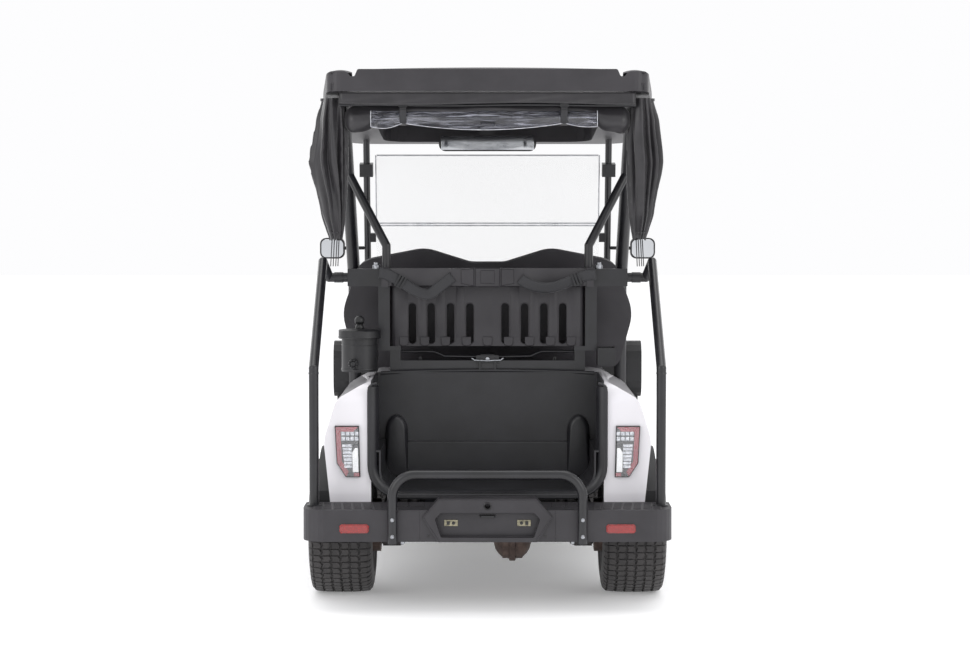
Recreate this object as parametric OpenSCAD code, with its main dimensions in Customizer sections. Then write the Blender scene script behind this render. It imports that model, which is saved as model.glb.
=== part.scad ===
// Two-seat electric golf cart with a moulded roof, a rear bag deck, a ball
// washer, rolled weather curtains and a folding windshield.
// Millimetres. +Y is forward, +X is the passenger's side, +Z is up.
// The origin is on the ground at the middle of the whole cart's box.

/* [Overall] */
// Distance between the axles
wheelbase = 1640; // [1500:1:1850]
// From the rear axle back to the bumper's face
rear_overhang = 430; // [400:1:520]
// From the front axle forward to the nose
front_overhang = 341; // [325:1:430]
// Width of the white bodywork at its widest
body_w = 1085; // [1000:1:1150]
// Width of the rear bumper
bumper_w = 1198; // [1120:1:1300]
// Height of the floor above the ground
floor_z = 330; // [325:1:360]

/* [Wheels] */
// Outside diameter of the tyres
tyre_od = 457; // [420:1:480]
// Width of the tyres
tyre_w = 216; // [180:1:235]
// Diameter of the rims where the beads sit
rim_d = 206; // [190:1:230]
// Distance between the rear tyres' middles
rear_track = 984; // [940:1:1060]
// Distance between the front tyres' middles
front_track = 870; // [840:1:960]
// Diameter of the wheel spindles
spindle_d = 30; // [25:1:40]
// Gap all round a spindle or a kingpin in its bore
pin_gap = 0.04; // [0.01:0.01:0.1]
// Largest steering angle either way
steer_max = 28; // [20:1:30]

/* [Rear body] */
// Gap between the rear tyres and their wheel arches
arch_gap = 20; // [15:1:35]
// Thickness of the moulded body panels
panel_t = 6; // [4:1:10]
// Height of the rear body's top
deck_z = 740; // [680:1:800]
// Width of the bag well inside its liner
well_w = 758; // [640:1:780]
// Height of the bag well's floor
well_z = 372; // [365:1:420]
// Diameter of the rear loop bar's tube
loop_d = 31; // [22:1:40]
// Distance between the rear loop bar's legs
loop_w = 612; // [480:1:700]
// Diameter of the grab rails' tube
rail_d = 32; // [25:1:40]

/* [Seat] */
// Width of the seat cushion
seat_w = 900; // [800:1:905]
// Depth of the seat cushion from back to front
seat_l = 410; // [360:1:440]
// Thickness of the seat cushion
cushion_t = 105; // [80:1:120]
// Height of the seat's pan
pan_z = 630; // [600:1:660]
// Height of the seat-back shell's humps
shell_z = 1165; // [1100:1:1220]

/* [Roof] */
// Height of the roof's rear edge
roof_z = 1770; // [1700:1:1850]
// Fall of the roof from its rear edge to its front edge
roof_drop = 130; // [60:1:150]
// Length of the roof
roof_l = 1750; // [1600:1:1850]
// Width of the roof at its rear edge
roof_rear_w = 1063; // [1000:1:1120]
// Width of the roof over the seats
roof_w = 1150; // [1080:1:1200]
// Depth of the roof's edge
roof_edge = 73; // [50:1:90]
// Diameter of the rear roof struts
strut_d = 45; // [35:1:50]
// Diameter of the front roof struts
front_strut_d = 27; // [22:1:35]
// Thickness of the windshield
glass_t = 5; // [4:1:8]

/* [Hidden] */
$fn = 48;

tyre_r = tyre_od / 2;
rim_r = rim_d / 2;
total_l = loop_d + rear_overhang + wheelbase + front_overhang;
rear_y = loop_d + rear_overhang - total_l / 2;     // rear axle
front_y = rear_y + wheelbase;                      // front axle
nose_y = total_l / 2;
bumper_y = rear_y - rear_overhang;                 // rear bumper's face
body_y = rear_y - tyre_r - 6.5;                    // rear body's face
arch_r = tyre_r + arch_gap;
front_arch_r = 310 * tyre_od / 457;
seat_back_y = rear_y + 420;                        // back of the seat pan
seat_rear_y = seat_back_y + 45;
seat_front_y = seat_rear_y + seat_l;
hinge_z = pan_z + 6;                               // seat hinge
fit = 0.3;                                         // gap between seated pieces

charcoal = "#3c3a3e";
soft_black = "#26262b";
white_paint = "#f2f0f4";
steel_grey = "#7d7f84";

// ---- outlines -------------------------------------------------------------
function unit(v) = v / norm(v);

// The arc that rounds the corner p1 between p0 and p2
function corner_arc(p0, p1, p2, r, n) =
  let (a = unit(p0 - p1), b = unit(p2 - p1), half = acos(a * b) / 2,
       c = p1 + unit(a + b) * r / sin(half),
       s = p1 + a * r / tan(half), e = p1 + b * r / tan(half),
       from = atan2(s.y - c.y, s.x - c.x),
       turn = ((atan2(e.y - c.y, e.x - c.x) - from + 540) % 360) - 180)
  [for (i = [0:n]) c + r * [cos(from + turn * i / n), sin(from + turn * i / n)]];

// A closed outline with each corner rounded; r is one radius or one each
function rounded(pts, r, n = 4) =
  let (m = len(pts))
  [for (i = [0:m - 1]) let (q = is_list(r) ? r[i] : r)
    each q > 0 ? corner_arc(pts[(i + m - 1) % m], pts[i], pts[(i + 1) % m], q, n) : [pts[i]]];

function rect(w, h, r = 0, n = 4) =
  rounded([[-w / 2, -h / 2], [w / 2, -h / 2], [w / 2, h / 2], [-w / 2, h / 2]], r, n);

function mirrored(pts) = concat(pts, [for (i = [len(pts) - 1:-1:0]) [-pts[i].x, pts[i].y]]);

// ---- solids ---------------------------------------------------------------
// Outline in Y and Z, pulled along X
module along_x(w) rotate([90, 0, 90]) linear_extrude(w, center = true) children();

// Outline in X and Z, pulled along Y
module along_y(l) rotate([90, 0, 0]) linear_extrude(l, center = true) children();

// A round bar from a to b
module rod(a, b, d) {
  v = b - a;
  translate(a) rotate([0, acos(v.z / norm(v)), atan2(v.y, v.x)]) cylinder(d = d, h = norm(v));
}

// A tube bent through the points; each corner is a ball a hair wider than the tube
module bent_bar(pts, d) {
  for (i = [0:len(pts) - 2]) rod(pts[i], pts[i + 1], d);
  for (i = [1:len(pts) - 2]) translate(pts[i]) sphere(d = d + 0.6);
}

// A block from its lowest to its highest corner
module block(lo, hi) translate(lo) cube(hi - lo);

module both_sides() {
  children();
  mirror([1, 0, 0]) children();
}

// ---- frame and running gear -------------------------------------------------
rail_x = 325;         // middle of the main rails
rail_w = 50;
floor_t = 12;
rail_z1 = floor_z - floor_t;
rail_z0 = rail_z1 - 54;
front_rail_x = 150;   // middle of the narrow front rails
neck_y = front_y - front_arch_r - 40;

module chassis_frame() color(soft_black) {
  rear_end = bumper_y + 60;
  cross_w = 2 * rail_x + rail_w;
  both_sides() {
    block([rail_x - rail_w / 2, rear_end, rail_z0], [rail_x + rail_w / 2, neck_y, rail_z1]);
    block([front_rail_x - rail_w / 2, neck_y - 60, rail_z0],
          [front_rail_x + rail_w / 2, nose_y - 60, rail_z1]);
  }
  for (y = [rear_end, rear_y + 225, rear_y + 640, neck_y - 60])
    block([-cross_w / 2, y, rail_z0], [cross_w / 2, y + 60, rail_z1]);
  for (y = [front_y + 130, nose_y - 100])
    block([-front_rail_x - rail_w / 2, y, rail_z0], [front_rail_x + rail_w / 2, y + 40, rail_z1]);
}

kingpin_x = front_track / 2 - 120;
kingpin_d = 20;
lug_t = 14;
yoke_h = 56;          // clear height inside a yoke
beam_z = tyre_r - 4;

module front_axle() color(soft_black) {
  eye_d = 42;
  difference() {
    union() {
      rod([-kingpin_x + 38, front_y, beam_z], [kingpin_x - 38, front_y, beam_z], 54);
      both_sides() {
        block([kingpin_x - 62, front_y - 21, beam_z - yoke_h / 2 - lug_t],
              [kingpin_x - 34, front_y + 21, beam_z + yoke_h / 2 + lug_t]);
        for (z = [beam_z - yoke_h / 2 - lug_t, beam_z + yoke_h / 2]) {
          translate([kingpin_x, front_y, z]) cylinder(d = eye_d, h = lug_t);
          block([kingpin_x - 40, front_y - 21, z], [kingpin_x, front_y + 21, z + lug_t]);
        }
        // perches that carry the springs
        block([front_rail_x - 25, front_y - 16, beam_z - 34], [front_rail_x + 25, front_y + 16, beam_z - 8]);
      }
    }
    both_sides() translate([kingpin_x, front_y, beam_z - yoke_h])
      cylinder(d = kingpin_d + 2 * pin_gap, h = 2 * yoke_h);
  }
}

arm_y = -92;          // steering arm's eye behind the kingpin
arm_pin_d = 12;
tie_drop = 30;        // from the arm's underside to the tie rod's middle

// The right-hand knuckle, with its kingpin, spindle and steering arm
module knuckle() color(steel_grey) {
  side = yoke_h - 4;
  hub_x = front_track / 2 + 34;
  translate([kingpin_x, front_y, beam_z]) {
    translate([0, 0, -yoke_h / 2 - lug_t - 8]) cylinder(d = kingpin_d, h = yoke_h + 2 * lug_t + 16);
    translate([0, 0, -side / 2]) cylinder(d = 40, h = side);
    translate([0, 0, 4]) rotate([0, 90, 0]) cylinder(d = 40, h = 64);
    translate([0, 0, 4]) rotate([0, 90, 0]) cylinder(d = spindle_d, h = hub_x - kingpin_x);
    // steering arm, reaching back under the beam's level
    block([-11, arm_y, -side / 2], [11, 0, -side / 2 + 14]);
    translate([0, arm_y, -side / 2]) cylinder(d = 26, h = 14);
    translate([0, arm_y, -side / 2 - tie_drop - 14]) cylinder(d = arm_pin_d, h = tie_drop + 16);
  }
}

module knuckle_right() knuckle();
module knuckle_left() mirror([1, 0, 0]) knuckle();

module tie_rod() color(steel_grey) {
  z = beam_z - (yoke_h - 4) / 2 - tie_drop;
  x = kingpin_x;
  difference() {
    union() {
      rod([-x, front_y + arm_y, z], [x, front_y + arm_y, z], 18);
      both_sides() translate([x, front_y + arm_y, z - 10]) cylinder(d = 28, h = 20);
    }
    both_sides() translate([x, front_y + arm_y, z - 20]) cylinder(d = arm_pin_d + 2 * pin_gap, h = 40);
  }
}

// A pressed-steel rim, its axle along X and its dish towards +X
module rim() color("#d9d9dc") {
  half = tyre_w * 0.36;
  lip = 6;
  bore = spindle_d / 2 + pin_gap;
  rotate([0, 90, 0]) rotate_extrude($fn = 72) {
    translate([rim_r - 5, -half]) square([5, 2 * half]);
    for (s = [-1, 1]) translate([rim_r - 5, s * (half + lip / 2) - lip / 2]) square([18, lip]);
    translate([bore + 8, 18]) square([rim_r - bore - 10, 6]);
    translate([bore, -30]) square([16, 60]);
  }
}

// A hollow tyre on the same axis
module tyre() color("#202022") {
  half = tyre_w * 0.36;
  w = tyre_w / 2;
  r = tyre_r;
  b = rim_r;
  wall = 10;
  rotate([0, 90, 0]) rotate_extrude($fn = 96) difference() {
    polygon(rounded([[b, -half], [b + 14, -half], [b + 30, -w + 7], [b + 62, -w], [r - 14, -w + 7], [r, -w + 22],
                     [r, w - 22], [r - 14, w - 7], [b + 62, w], [b + 30, w - 7], [b + 14, half],
                     [b, half]],
                    [0, 0, 12, 30, 10, 12, 12, 10, 30, 12, 0, 0], 3));
    polygon([[b - 5, -half + wall], [b + 20, -half + wall], [b + 38, -w + 18], [b + 62, -w + wall],
             [r - 18, -w + 18], [r - wall, -w + 26], [r - wall, w - 26], [r - 18, w - 18],
             [b + 62, w - wall], [b + 38, w - 18], [b + 20, half - wall], [b - 5, half - wall]]);
  }
}

module at_front_wheel() translate([front_track / 2, front_y, tyre_r]) children();
module at_rear_wheel() translate([rear_track / 2, rear_y, tyre_r]) children();
module rim_front_right() at_front_wheel() rim();
module rim_front_left() mirror([1, 0, 0]) at_front_wheel() rim();
module rim_rear_right() at_rear_wheel() rim();
module rim_rear_left() mirror([1, 0, 0]) at_rear_wheel() rim();
module tyre_front_right() at_front_wheel() tyre();
module tyre_front_left() mirror([1, 0, 0]) at_front_wheel() tyre();
module tyre_rear_right() at_rear_wheel() tyre();
module tyre_rear_left() mirror([1, 0, 0]) at_rear_wheel() tyre();

diff_x = 85;          // middle of the differential
diff_r = tyre_r - 114;

module rear_axle() color("#4a3d3a") {
  tube_x = rear_track / 2 - 118;
  translate([0, rear_y, tyre_r]) {
    rotate([0, 90, 0]) translate([0, 0, -tube_x]) cylinder(d = 64, h = 2 * tube_x);
    translate([diff_x, 0, 0]) rotate([0, 90, 0]) {
      translate([0, 0, -34]) cylinder(r = diff_r, h = 68);
      translate([0, 0, -58]) cylinder(r = diff_r * 0.7, h = 116);
    }
    both_sides() {
      // brake backing plate and drum, inside the rim
      rotate([0, 90, 0]) translate([0, 0, tube_x - 10]) cylinder(d = rim_d - 26, h = 48);
      rotate([0, 90, 0]) cylinder(d = spindle_d, h = rear_track / 2 + 34);
    }
  }
}

module drive_motor() color("#33343a") {
  motor_r = 84;
  translate([-215, rear_y + 128, tyre_r + 22]) rotate([0, 90, 0]) cylinder(r = motor_r, h = 239);
  block([-20, rear_y + diff_r * 0.6, tyre_r - 30], [diff_x - 58 - fit, rear_y + 128, tyre_r + 60]);
}

module battery_pack() color("#303136")
  block([-390, seat_back_y + 36, floor_z + fit], [390, seat_back_y + 396, floor_z + 270]);

leaf_w = 45;
leaf_span = 290;      // from the axle to a spring's eye
leaf_z = tyre_r - 32;

// A bowed stack of leaves between two eyes, outline in Y and Z
module leaf_bow(span, sag, t) {
  r = (span * span + sag * sag) / (2 * sag);
  translate([0, r]) intersection() {
    difference() {
      circle(r = r, $fn = 360);
      circle(r = r - t, $fn = 360);
    }
    translate([-span, -r - 1]) square([2 * span, sag + 2]);
  }
}

module rear_springs() color(soft_black) both_sides() {
  sag = rail_z0 - leaf_z + 8;
  translate([rail_x, rear_y, leaf_z - 18]) {
    along_x(leaf_w) leaf_bow(leaf_span, sag, 18 - fit);
    // axle clamp under the leaves, and the shock's lower eye
    block([-30, -55, -14], [30, 55, -fit]);
    for (s = [-1, 1]) translate([0, s * leaf_span, sag - 8]) rotate([0, 90, 0])
      cylinder(d = 34, h = leaf_w, center = true);
  }
  // hydraulic shock, from the axle clamp to the frame's cross member
  translate([rail_x - 68, rear_y + 60, 0]) {
    translate([0, 0, tyre_r - 50]) cylinder(d = 26, h = 60);
    translate([0, 0, tyre_r - 10]) cylinder(d = 46, h = 118);
    block([0, -30, tyre_r - 50], [72, 0, tyre_r - 30]);
    block([0, -14, rail_z1 - 30], [68 - rail_w / 2 - fit, 14, rail_z1 - 2]);
  }
}

module front_springs() color(soft_black) both_sides()
  translate([front_rail_x, front_y, beam_z - 34 - 12]) {
    sag = rail_z0 - (beam_z - 46) - 7 - fit;
    along_x(leaf_w) leaf_bow(190, sag, 11);
    for (s = [-1, 1]) translate([0, s * 190, sag - 8]) rotate([0, 90, 0])
      cylinder(d = 30, h = leaf_w, center = true);
  }

// The front leaves hang under the axle, the rear ones carry it
module leaf_springs() {
  rear_springs();
  front_springs();
}

// ---- front body -------------------------------------------------------------
floor_w = 1120;
floor_end = front_y - front_arch_r - 8;

module floorboard() color("#2e2e31") {
  ramp_w = 2 * front_rail_x + 100;
  ramp_top = floor_z + 170;
  block([-floor_w / 2, seat_back_y - 20, floor_z - floor_t], [floor_w / 2, floor_end, floor_z]);
  along_x(ramp_w) polygon([[floor_end - 20, floor_z - floor_t], [front_y - 150, floor_z - floor_t],
                           [front_y - 80, ramp_top], [front_y - 92, ramp_top],
                           [front_y - 160, floor_z], [floor_end - 20, floor_z]]);
  // rocker skirts under both edges
  both_sides() block([floor_w / 2 - 10, seat_back_y + 40, floor_z - 72],
                     [floor_w / 2, floor_end - 12, floor_z - floor_t]);
}

cowl_w = 1140;
cowl_top = 915;
glass_y = front_y - 105;      // foot of the windshield
glass_z = cowl_top - 22;
glass_tilt = 10;
function glass_at(z) = glass_y - (z - glass_z) * tan(glass_tilt);

// The front body's form, every face moved in by t
module cowl_form(t) {
  intersection() {
    along_x(cowl_w + 60) offset(delta = -t)
      polygon(rounded([[front_y - front_arch_r - 12, floor_z + 1], [front_y - 310, floor_z + 230],
                       [front_y - 225, 800], [front_y - 200, cowl_top - 10], [glass_y + 20, cowl_top],
                       [front_y + 130, 840], [nose_y - 70, 740], [nose_y - 26, 560],
                       [nose_y - 26, floor_z + 15]],
                      [0, 60, 60, 20, 60, 200, 90, 60, 0]));
    translate([0, front_y, 0]) along_y(1000) offset(delta = -t)
      polygon(rounded([[-cowl_w / 2, 200], [cowl_w / 2, 200], [cowl_w / 2, 600],
                       [cowl_w / 2 - 30, 820], [cowl_w / 2 - 70, cowl_top + 8],
                       [-cowl_w / 2 + 70, cowl_top + 8], [-cowl_w / 2 + 30, 820],
                       [-cowl_w / 2, 600]], [0, 0, 120, 60, 60, 60, 60, 120]));
    linear_extrude(2000) offset(delta = -t)
      polygon(rounded([[-cowl_w / 2, floor_end - 60], [cowl_w / 2, floor_end - 60],
                       [cowl_w / 2, nose_y - 26], [-cowl_w / 2, nose_y - 26]], [0, 0, 150, 150], 6));
  }
}

// The space that both front wheels sweep
arch_x = 2 * kingpin_x - front_track / 2 + 20;
module front_arches(grow = 0) both_sides()
  translate([arch_x, front_y, tyre_r]) rotate([0, 90, 0])
    cylinder(r = front_arch_r + grow, h = 500, $fn = 96);

module front_cowl() color(white_paint) difference() {
  cowl_form(0);
  cowl_form(panel_t);
  translate([0, -3 * panel_t, -3 * panel_t]) cowl_form(panel_t);
  front_arches();
}

module wheel_arch_liners() color(soft_black) {
  wall = 5;
  difference() {
    intersection() {
      cowl_form(panel_t + fit);
      union() {
        difference() {
          front_arches(wall);
          front_arches();
        }
        both_sides() translate([arch_x - wall, front_y, tyre_r]) rotate([0, 90, 0])
          cylinder(r = front_arch_r + wall, h = wall, $fn = 96);
      }
    }
    // openings in the inner walls for the axle, the tie rod and the springs
    both_sides() block([arch_x - 2 * wall, front_y - 200, 0], [arch_x + wall, front_y + 200, 360]);
  }
}

module front_bumper() color(charcoal) {
  w = 1120;
  wall = 30;
  z0 = floor_z - 88;
  z1 = floor_z + 12;
  y1 = nose_y;
  translate([0, 0, z0]) linear_extrude(z1 - z0) difference() {
    polygon(rounded([[-w / 2, y1 - 98], [w / 2, y1 - 98], [w / 2, y1], [-w / 2, y1]], [0, 0, 85, 85], 6));
    polygon(rounded([[-w / 2 + wall, y1 - 140], [w / 2 - wall, y1 - 140],
                     [w / 2 - wall, y1 - wall], [-w / 2 + wall, y1 - wall]], [0, 0, 56, 56], 6));
  }
  both_sides() block([front_rail_x - 25, y1 - 60 + fit, rail_z0], [front_rail_x + 25, y1 - wall, rail_z1]);
}

module headlights() color("#e8ecf0") difference() {
  intersection() {
    cowl_form(-5);
    both_sides() translate([435, nose_y - 120, 590]) along_y(260)
      polygon(rounded([[-90, -45], [95, -20], [110, 70], [-60, 40]], 16));
  }
  cowl_form(-fit);
}

wheel_hub = [-250, front_y - 500, 905];
wheel_lean = 46;
module at_wheel() translate(wheel_hub) rotate([wheel_lean, 0, 0]) children();
column_d = 50;
shaft_d = 16;

module dashboard() color(charcoal) {
  y0 = front_y - 260;
  z0 = 690;
  bins = [[110, 440], [-90, 90]];     // glove bin and middle cubby, in X
  bin_h = 100;
  bin_t = 5;
  difference() {
    union() {
      intersection() {
        cowl_form(panel_t + fit);
        along_x(cowl_w) polygon(rounded([[y0, 620], [y0 + 10, 620], [y0 + 45, 760], [y0 + 100, 862],
                                         [glass_y + 10, 880], [glass_y + 10, 888],
                                         [y0 + 92, 872], [y0 + 34, 762]],
                                        [0, 0, 30, 30, 0, 0, 30, 30]));
      }
      for (b = bins) block([b[0], y0 + 20, z0], [b[1], y0 + 130, z0 + bin_h]);
    }
    for (b = bins) block([b[0] + bin_t, y0 - 20, z0 + bin_t], [b[1] - bin_t, y0 + 130 - bin_t, z0 + bin_h - bin_t]);
    at_wheel() translate([0, 0, -600]) cylinder(d = column_d + 2, h = 600);
  }
}

module steering_column() color(soft_black) {
  foot = [wheel_hub.x, front_y - 122, 548];
  difference() {
    at_wheel() translate([0, 0, -520]) cylinder(d = column_d, h = 480);
    at_wheel() translate([0, 0, -160]) cylinder(d = shaft_d + 2 * pin_gap, h = 200);
  }
  // bracket from the column's foot down to the frame's front rail
  bent_bar([foot, [-front_rail_x - 30, foot.y, foot.z], [-front_rail_x, front_y - 30, foot.z],
            [-front_rail_x, front_y - 30, rail_z1 + fit]], 26);
}

module steering_wheel() color(soft_black) at_wheel() {
  ring_r = 162;
  rotate_extrude($fn = 72) translate([ring_r, 0]) circle(d = 27, $fn = 24);
  translate([0, 0, -34]) cylinder(d = 84, h = 34);
  for (a = [90, 210, 330]) rotate([0, 0, a]) block([30, -17, -20], [ring_r, 17, -9]);
  translate([0, 0, -150]) cylinder(d = shaft_d, h = 130);
}

module pedals() color(soft_black) {
  y = floor_end - 60;
  for (p = [[-330, 62, 105], [-225, 50, 150]]) translate([p.x, y, floor_z + 3 + fit]) rotate([28, 0, 0]) {
    block([-8, -6, 0], [8, 6, 60]);
    block([-p.y / 2, -14, 46], [p.y / 2, -4, 46 + p.z]);
  }
}

// ---- seat -------------------------------------------------------------------
module seat_base() color(charcoal) {
  w = seat_w;
  difference() {
    block([-w / 2, seat_back_y, floor_z], [w / 2, seat_front_y - 10, pan_z - 8]);
    block([-w / 2 + panel_t, seat_back_y + panel_t, floor_z - 1],
          [w / 2 - panel_t, seat_front_y - 10 - panel_t, pan_z]);
  }
  // two hinge ears on the front panel
  both_sides() difference() {
    union() {
      block([300, seat_front_y - 10, pan_z - 50], [330, seat_front_y + 18, pan_z - 26]);
      translate([300, seat_front_y + 6, hinge_z - 30]) rotate([0, 90, 0]) cylinder(d = 24, h = 30);
    }
    translate([290, seat_front_y + 6, hinge_z - 30]) rotate([0, 90, 0])
      cylinder(d = 10 + 2 * pin_gap, h = 50);
  }
}

module seat_pan() color("#2a2a2c") {
  block([-seat_w / 2 + 4, seat_rear_y + 4, pan_z], [seat_w / 2 - 4, seat_front_y - 2, pan_z + 12]);
  // hinge pins and the arms that carry them
  both_sides() {
    translate([292, seat_front_y + 6, hinge_z - 30]) rotate([0, 90, 0]) cylinder(d = 10, h = 60);
    block([336, seat_front_y - 4, hinge_z - 38], [350, seat_front_y + 16, hinge_z + 6]);
    block([336, seat_front_y - 30, pan_z], [350, seat_front_y + 16, pan_z + 12]);
  }
}

// A cushion's plain block, crowned by rounded edges
module pad(w, l, t, r) intersection() {
  linear_extrude(t) polygon(rect(w, l, r));
  along_x(w) translate([0, t / 2]) polygon(rect(l, t, t * 0.35));
  along_y(l) translate([0, t / 2]) polygon(rect(w, t, t * 0.35));
}

module seat_cushion() color("#e9e4da")
  translate([0, (seat_rear_y + seat_front_y) / 2, pan_z + 12 + fit])
    pad(seat_w, seat_l, cushion_t, 60);

shell_tilt = 10;
shell_foot = deck_z + 3.5 + fit;
shell_h = (shell_z - shell_foot) / cos(shell_tilt);
module at_shell() translate([0, seat_back_y - 8, shell_foot]) rotate([shell_tilt, 0, 0]) children();
function shell_half() = [[0, 0], [468, 0], [520, shell_h * 0.47], [452, shell_h - 40],
                         [220, shell_h + 5], [60, shell_h - 46]];

module shell_outline() {
  r = [0, 40, 150, 80, 140, 90];
  polygon(rounded(mirrored(shell_half()), concat(r, [for (i = [5:-1:0]) r[i]]), 6));
}

module seat_back_shell() color(charcoal) at_shell() difference() {
  translate([0, -14, 0]) along_y(28) shell_outline();
  translate([0, -9, 0]) along_y(28) offset(delta = -5) shell_outline();
}

module seat_backrests() color("#e9e4da") at_shell() both_sides()
  translate([224, 1, shell_h * 0.54]) rotate([-90, 0, 0]) pad(424, shell_h * 0.86, 72, 80);

module hip_restraints() color(soft_black) both_sides() {
  x0 = seat_w / 2 + 42;
  w = 68;
  y0 = seat_back_y + 62;
  y1 = y0 + 190;
  z0 = pan_z - 10;
  z1 = z0 + 215;
  loop = rounded([[y0, z0], [y1, z0], [y1, z1 - 30], [y0, z1]], 60);
  translate([x0 + w / 2, 0, 0]) along_x(w) difference() {
    polygon(loop);
    offset(delta = -40) polygon(loop);
  }
  // foot on the side of the seat base
  block([seat_w / 2 + fit, y0 + 55, z0 - 60], [x0 + w - 10, y1 - 55, z0 - 8]);
  block([x0 + 10, y0 + 55, z0 - 10], [x0 + w - 10, y1 - 55, z0 + 6]);
}

// ---- rear body --------------------------------------------------------------
body_front_y = seat_back_y - 12;
well_front_y = body_y + 355;

// The rear body's form, every face moved in by t
module rear_form(t) {
  half_w = body_w / 2;
  intersection() {
    along_x(body_w + 20) offset(delta = -t)
      polygon(rounded([[body_y, floor_z + 5], [body_front_y, floor_z + 5], [body_front_y, deck_z],
                       [body_y + 40, deck_z], [body_y, deck_z - 60]], [0, 0, 30, 60, 60]));
    translate([0, rear_y, 0]) along_y(1200) offset(delta = -t)
      polygon(rounded([[-half_w + 22, floor_z + 5], [half_w - 22, floor_z + 5],
                       [half_w, deck_z - 195], [half_w - 42, deck_z - 60], [half_w - 150, deck_z],
                       [-half_w + 150, deck_z], [-half_w + 42, deck_z - 60],
                       [-half_w, deck_z - 195]], [0, 0, 120, 60, 140, 140, 60, 120]));
  }
}

module rear_arches(r, x0) both_sides() translate([x0, rear_y, tyre_r]) rotate([0, 90, 0])
  cylinder(r = r, h = 400, $fn = 96);

well_out = well_w / 2 + panel_t;      // half width of the hole in the deck
well_side = well_out - 26;            // half width between the wheel housings

module rear_body() color(white_paint) difference() {
  rear_form(0);
  rear_form(panel_t);
  translate([0, 0, -3 * panel_t]) rear_form(panel_t);
  translate([0, 3 * panel_t, -panel_t * 4]) rear_form(panel_t);
  rear_arches(arch_r, well_out);
  block([-well_out - fit, body_y - 50, 0], [well_out + fit, well_front_y + panel_t + fit, deck_z + 50]);
}

module fender_flares() color(soft_black) {
  lip = 22;
  intersection() {
    difference() {
      rear_arches(arch_r + lip, body_w / 2 - 50);
      rear_arches(arch_r, body_w / 2 - 60);
      rear_form(-fit);
    }
    block([-body_w / 2 - 22, body_y + 8, floor_z + 8], [body_w / 2 + 22, body_front_y, deck_z]);
  }
}

module bagwell_liner() color(soft_black) {
  t = panel_t;
  ledge_z = tyre_r + arch_r + 34;
  outer = [[-well_side, well_z - t], [well_side, well_z - t], [well_side, ledge_z - t],
           [well_out, ledge_z - t], [well_out, deck_z + 2], [-well_out, deck_z + 2],
           [-well_out, ledge_z - t], [-well_side, ledge_z - t]];
  inner = [[-well_side + t, well_z], [well_side - t, well_z], [well_side - t, ledge_z],
           [well_out - t, ledge_z], [well_out - t, deck_z + 50], [-well_out + t, deck_z + 50],
           [-well_out + t, ledge_z], [-well_side + t, ledge_z]];
  r = [70, 70, 0, 0, 0, 0, 0, 0];
  l = well_front_y - body_y;
  difference() {
    translate([0, body_y + l / 2 + t / 2, 0]) along_y(l + t) polygon(rounded(outer, r));
    translate([0, body_y + l / 2 - t, 0]) along_y(l + 2 * t) polygon(rounded(inner, r));
  }
  // rolled lip round the rear opening
  translate([0, body_y - 5, 0]) along_y(10) difference() {
    polygon(rounded([[-well_out - 12, well_z - 22], [well_out + 12, well_z - 22],
                     [well_out + 12, deck_z - 6], [-well_out - 12, deck_z - 6]], [110, 110, 30, 30]));
    polygon(rounded([[-well_out + 4, well_z], [well_out - 4, well_z],
                     [well_out - 4, deck_z + 60], [-well_out + 4, deck_z + 60]], [90, 90, 0, 0]));
  }
}

lamp_out = body_w / 2 - 38;
module rear_lamps() {
  // tail lamps on the body, reflectors on the bumper
  color("#b0455a") both_sides() translate([0, body_y - 7 - fit, 0]) along_y(14)
    polygon(rounded([[lamp_out - 84, deck_z - 317], [lamp_out - 36, deck_z - 317],
                     [lamp_out - 6, deck_z - 270], [lamp_out, deck_z - 147],
                     [lamp_out - 80, deck_z - 147]], [8, 8, 8, 10, 10]));
  color("#c01010") both_sides() translate([bumper_w / 2 - 169, bumper_y - 3 - fit, 280]) along_y(6)
    polygon(rect(95, 36, 6));
}

bumper_z0 = 237;
bumper_z1 = floor_z + 10;
hex_proud = 6;
tow_bore_r = 9;

module rear_bumper() color(charcoal) {
  w = bumper_w;
  wall = 8;
  inner_y = rear_y - tyre_r - 10;
  outer = rounded([[-w / 2, inner_y], [-w / 2, bumper_y], [w / 2, bumper_y], [w / 2, inner_y]],
                  [8, 70, 70, 8], 6);
  difference() {
    union() {
      difference() {
        translate([0, 0, bumper_z0]) linear_extrude(bumper_z1 - bumper_z0) polygon(outer);
        translate([0, 0, bumper_z0 - wall]) linear_extrude(bumper_z1 - bumper_z0)
          offset(delta = -wall) polygon(outer);
        // open towards the frame between the wheels
        block([-rail_x - 40, bumper_y + wall, bumper_z0 - 1], [rail_x + 40, inner_y + 1, bumper_z1 - wall]);
      }
      // six-sided raised centre
      translate([0, bumper_y + 27, 0]) along_y(54 + 2 * hex_proud)
        polygon(rounded([[-162, bumper_z0], [162, bumper_z0], [211, bumper_z1 - 23],
                         [157, bumper_z1 + 38], [-157, bumper_z1 + 38],
                         [-211, bumper_z1 - 23]], 10));
      // brackets on the frame's end
      both_sides() block([rail_x - 22, bumper_y + wall - 1, rail_z0], [rail_x + 22, bumper_y + 60 - fit, rail_z1]);
    }
    translate([0, bumper_y, 0]) along_y(40)
      polygon(rounded([[-150, bumper_z0 + 14], [150, bumper_z0 + 14], [170, bumper_z1 - 28],
                       [150, bumper_z1 - 8], [-150, bumper_z1 - 8], [-170, bumper_z1 - 28]], 8));
    translate([0, bumper_y - 100, bumper_z1 + 14]) rotate([-90, 0, 0]) cylinder(r = tow_bore_r, h = 300);
  }
}

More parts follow.
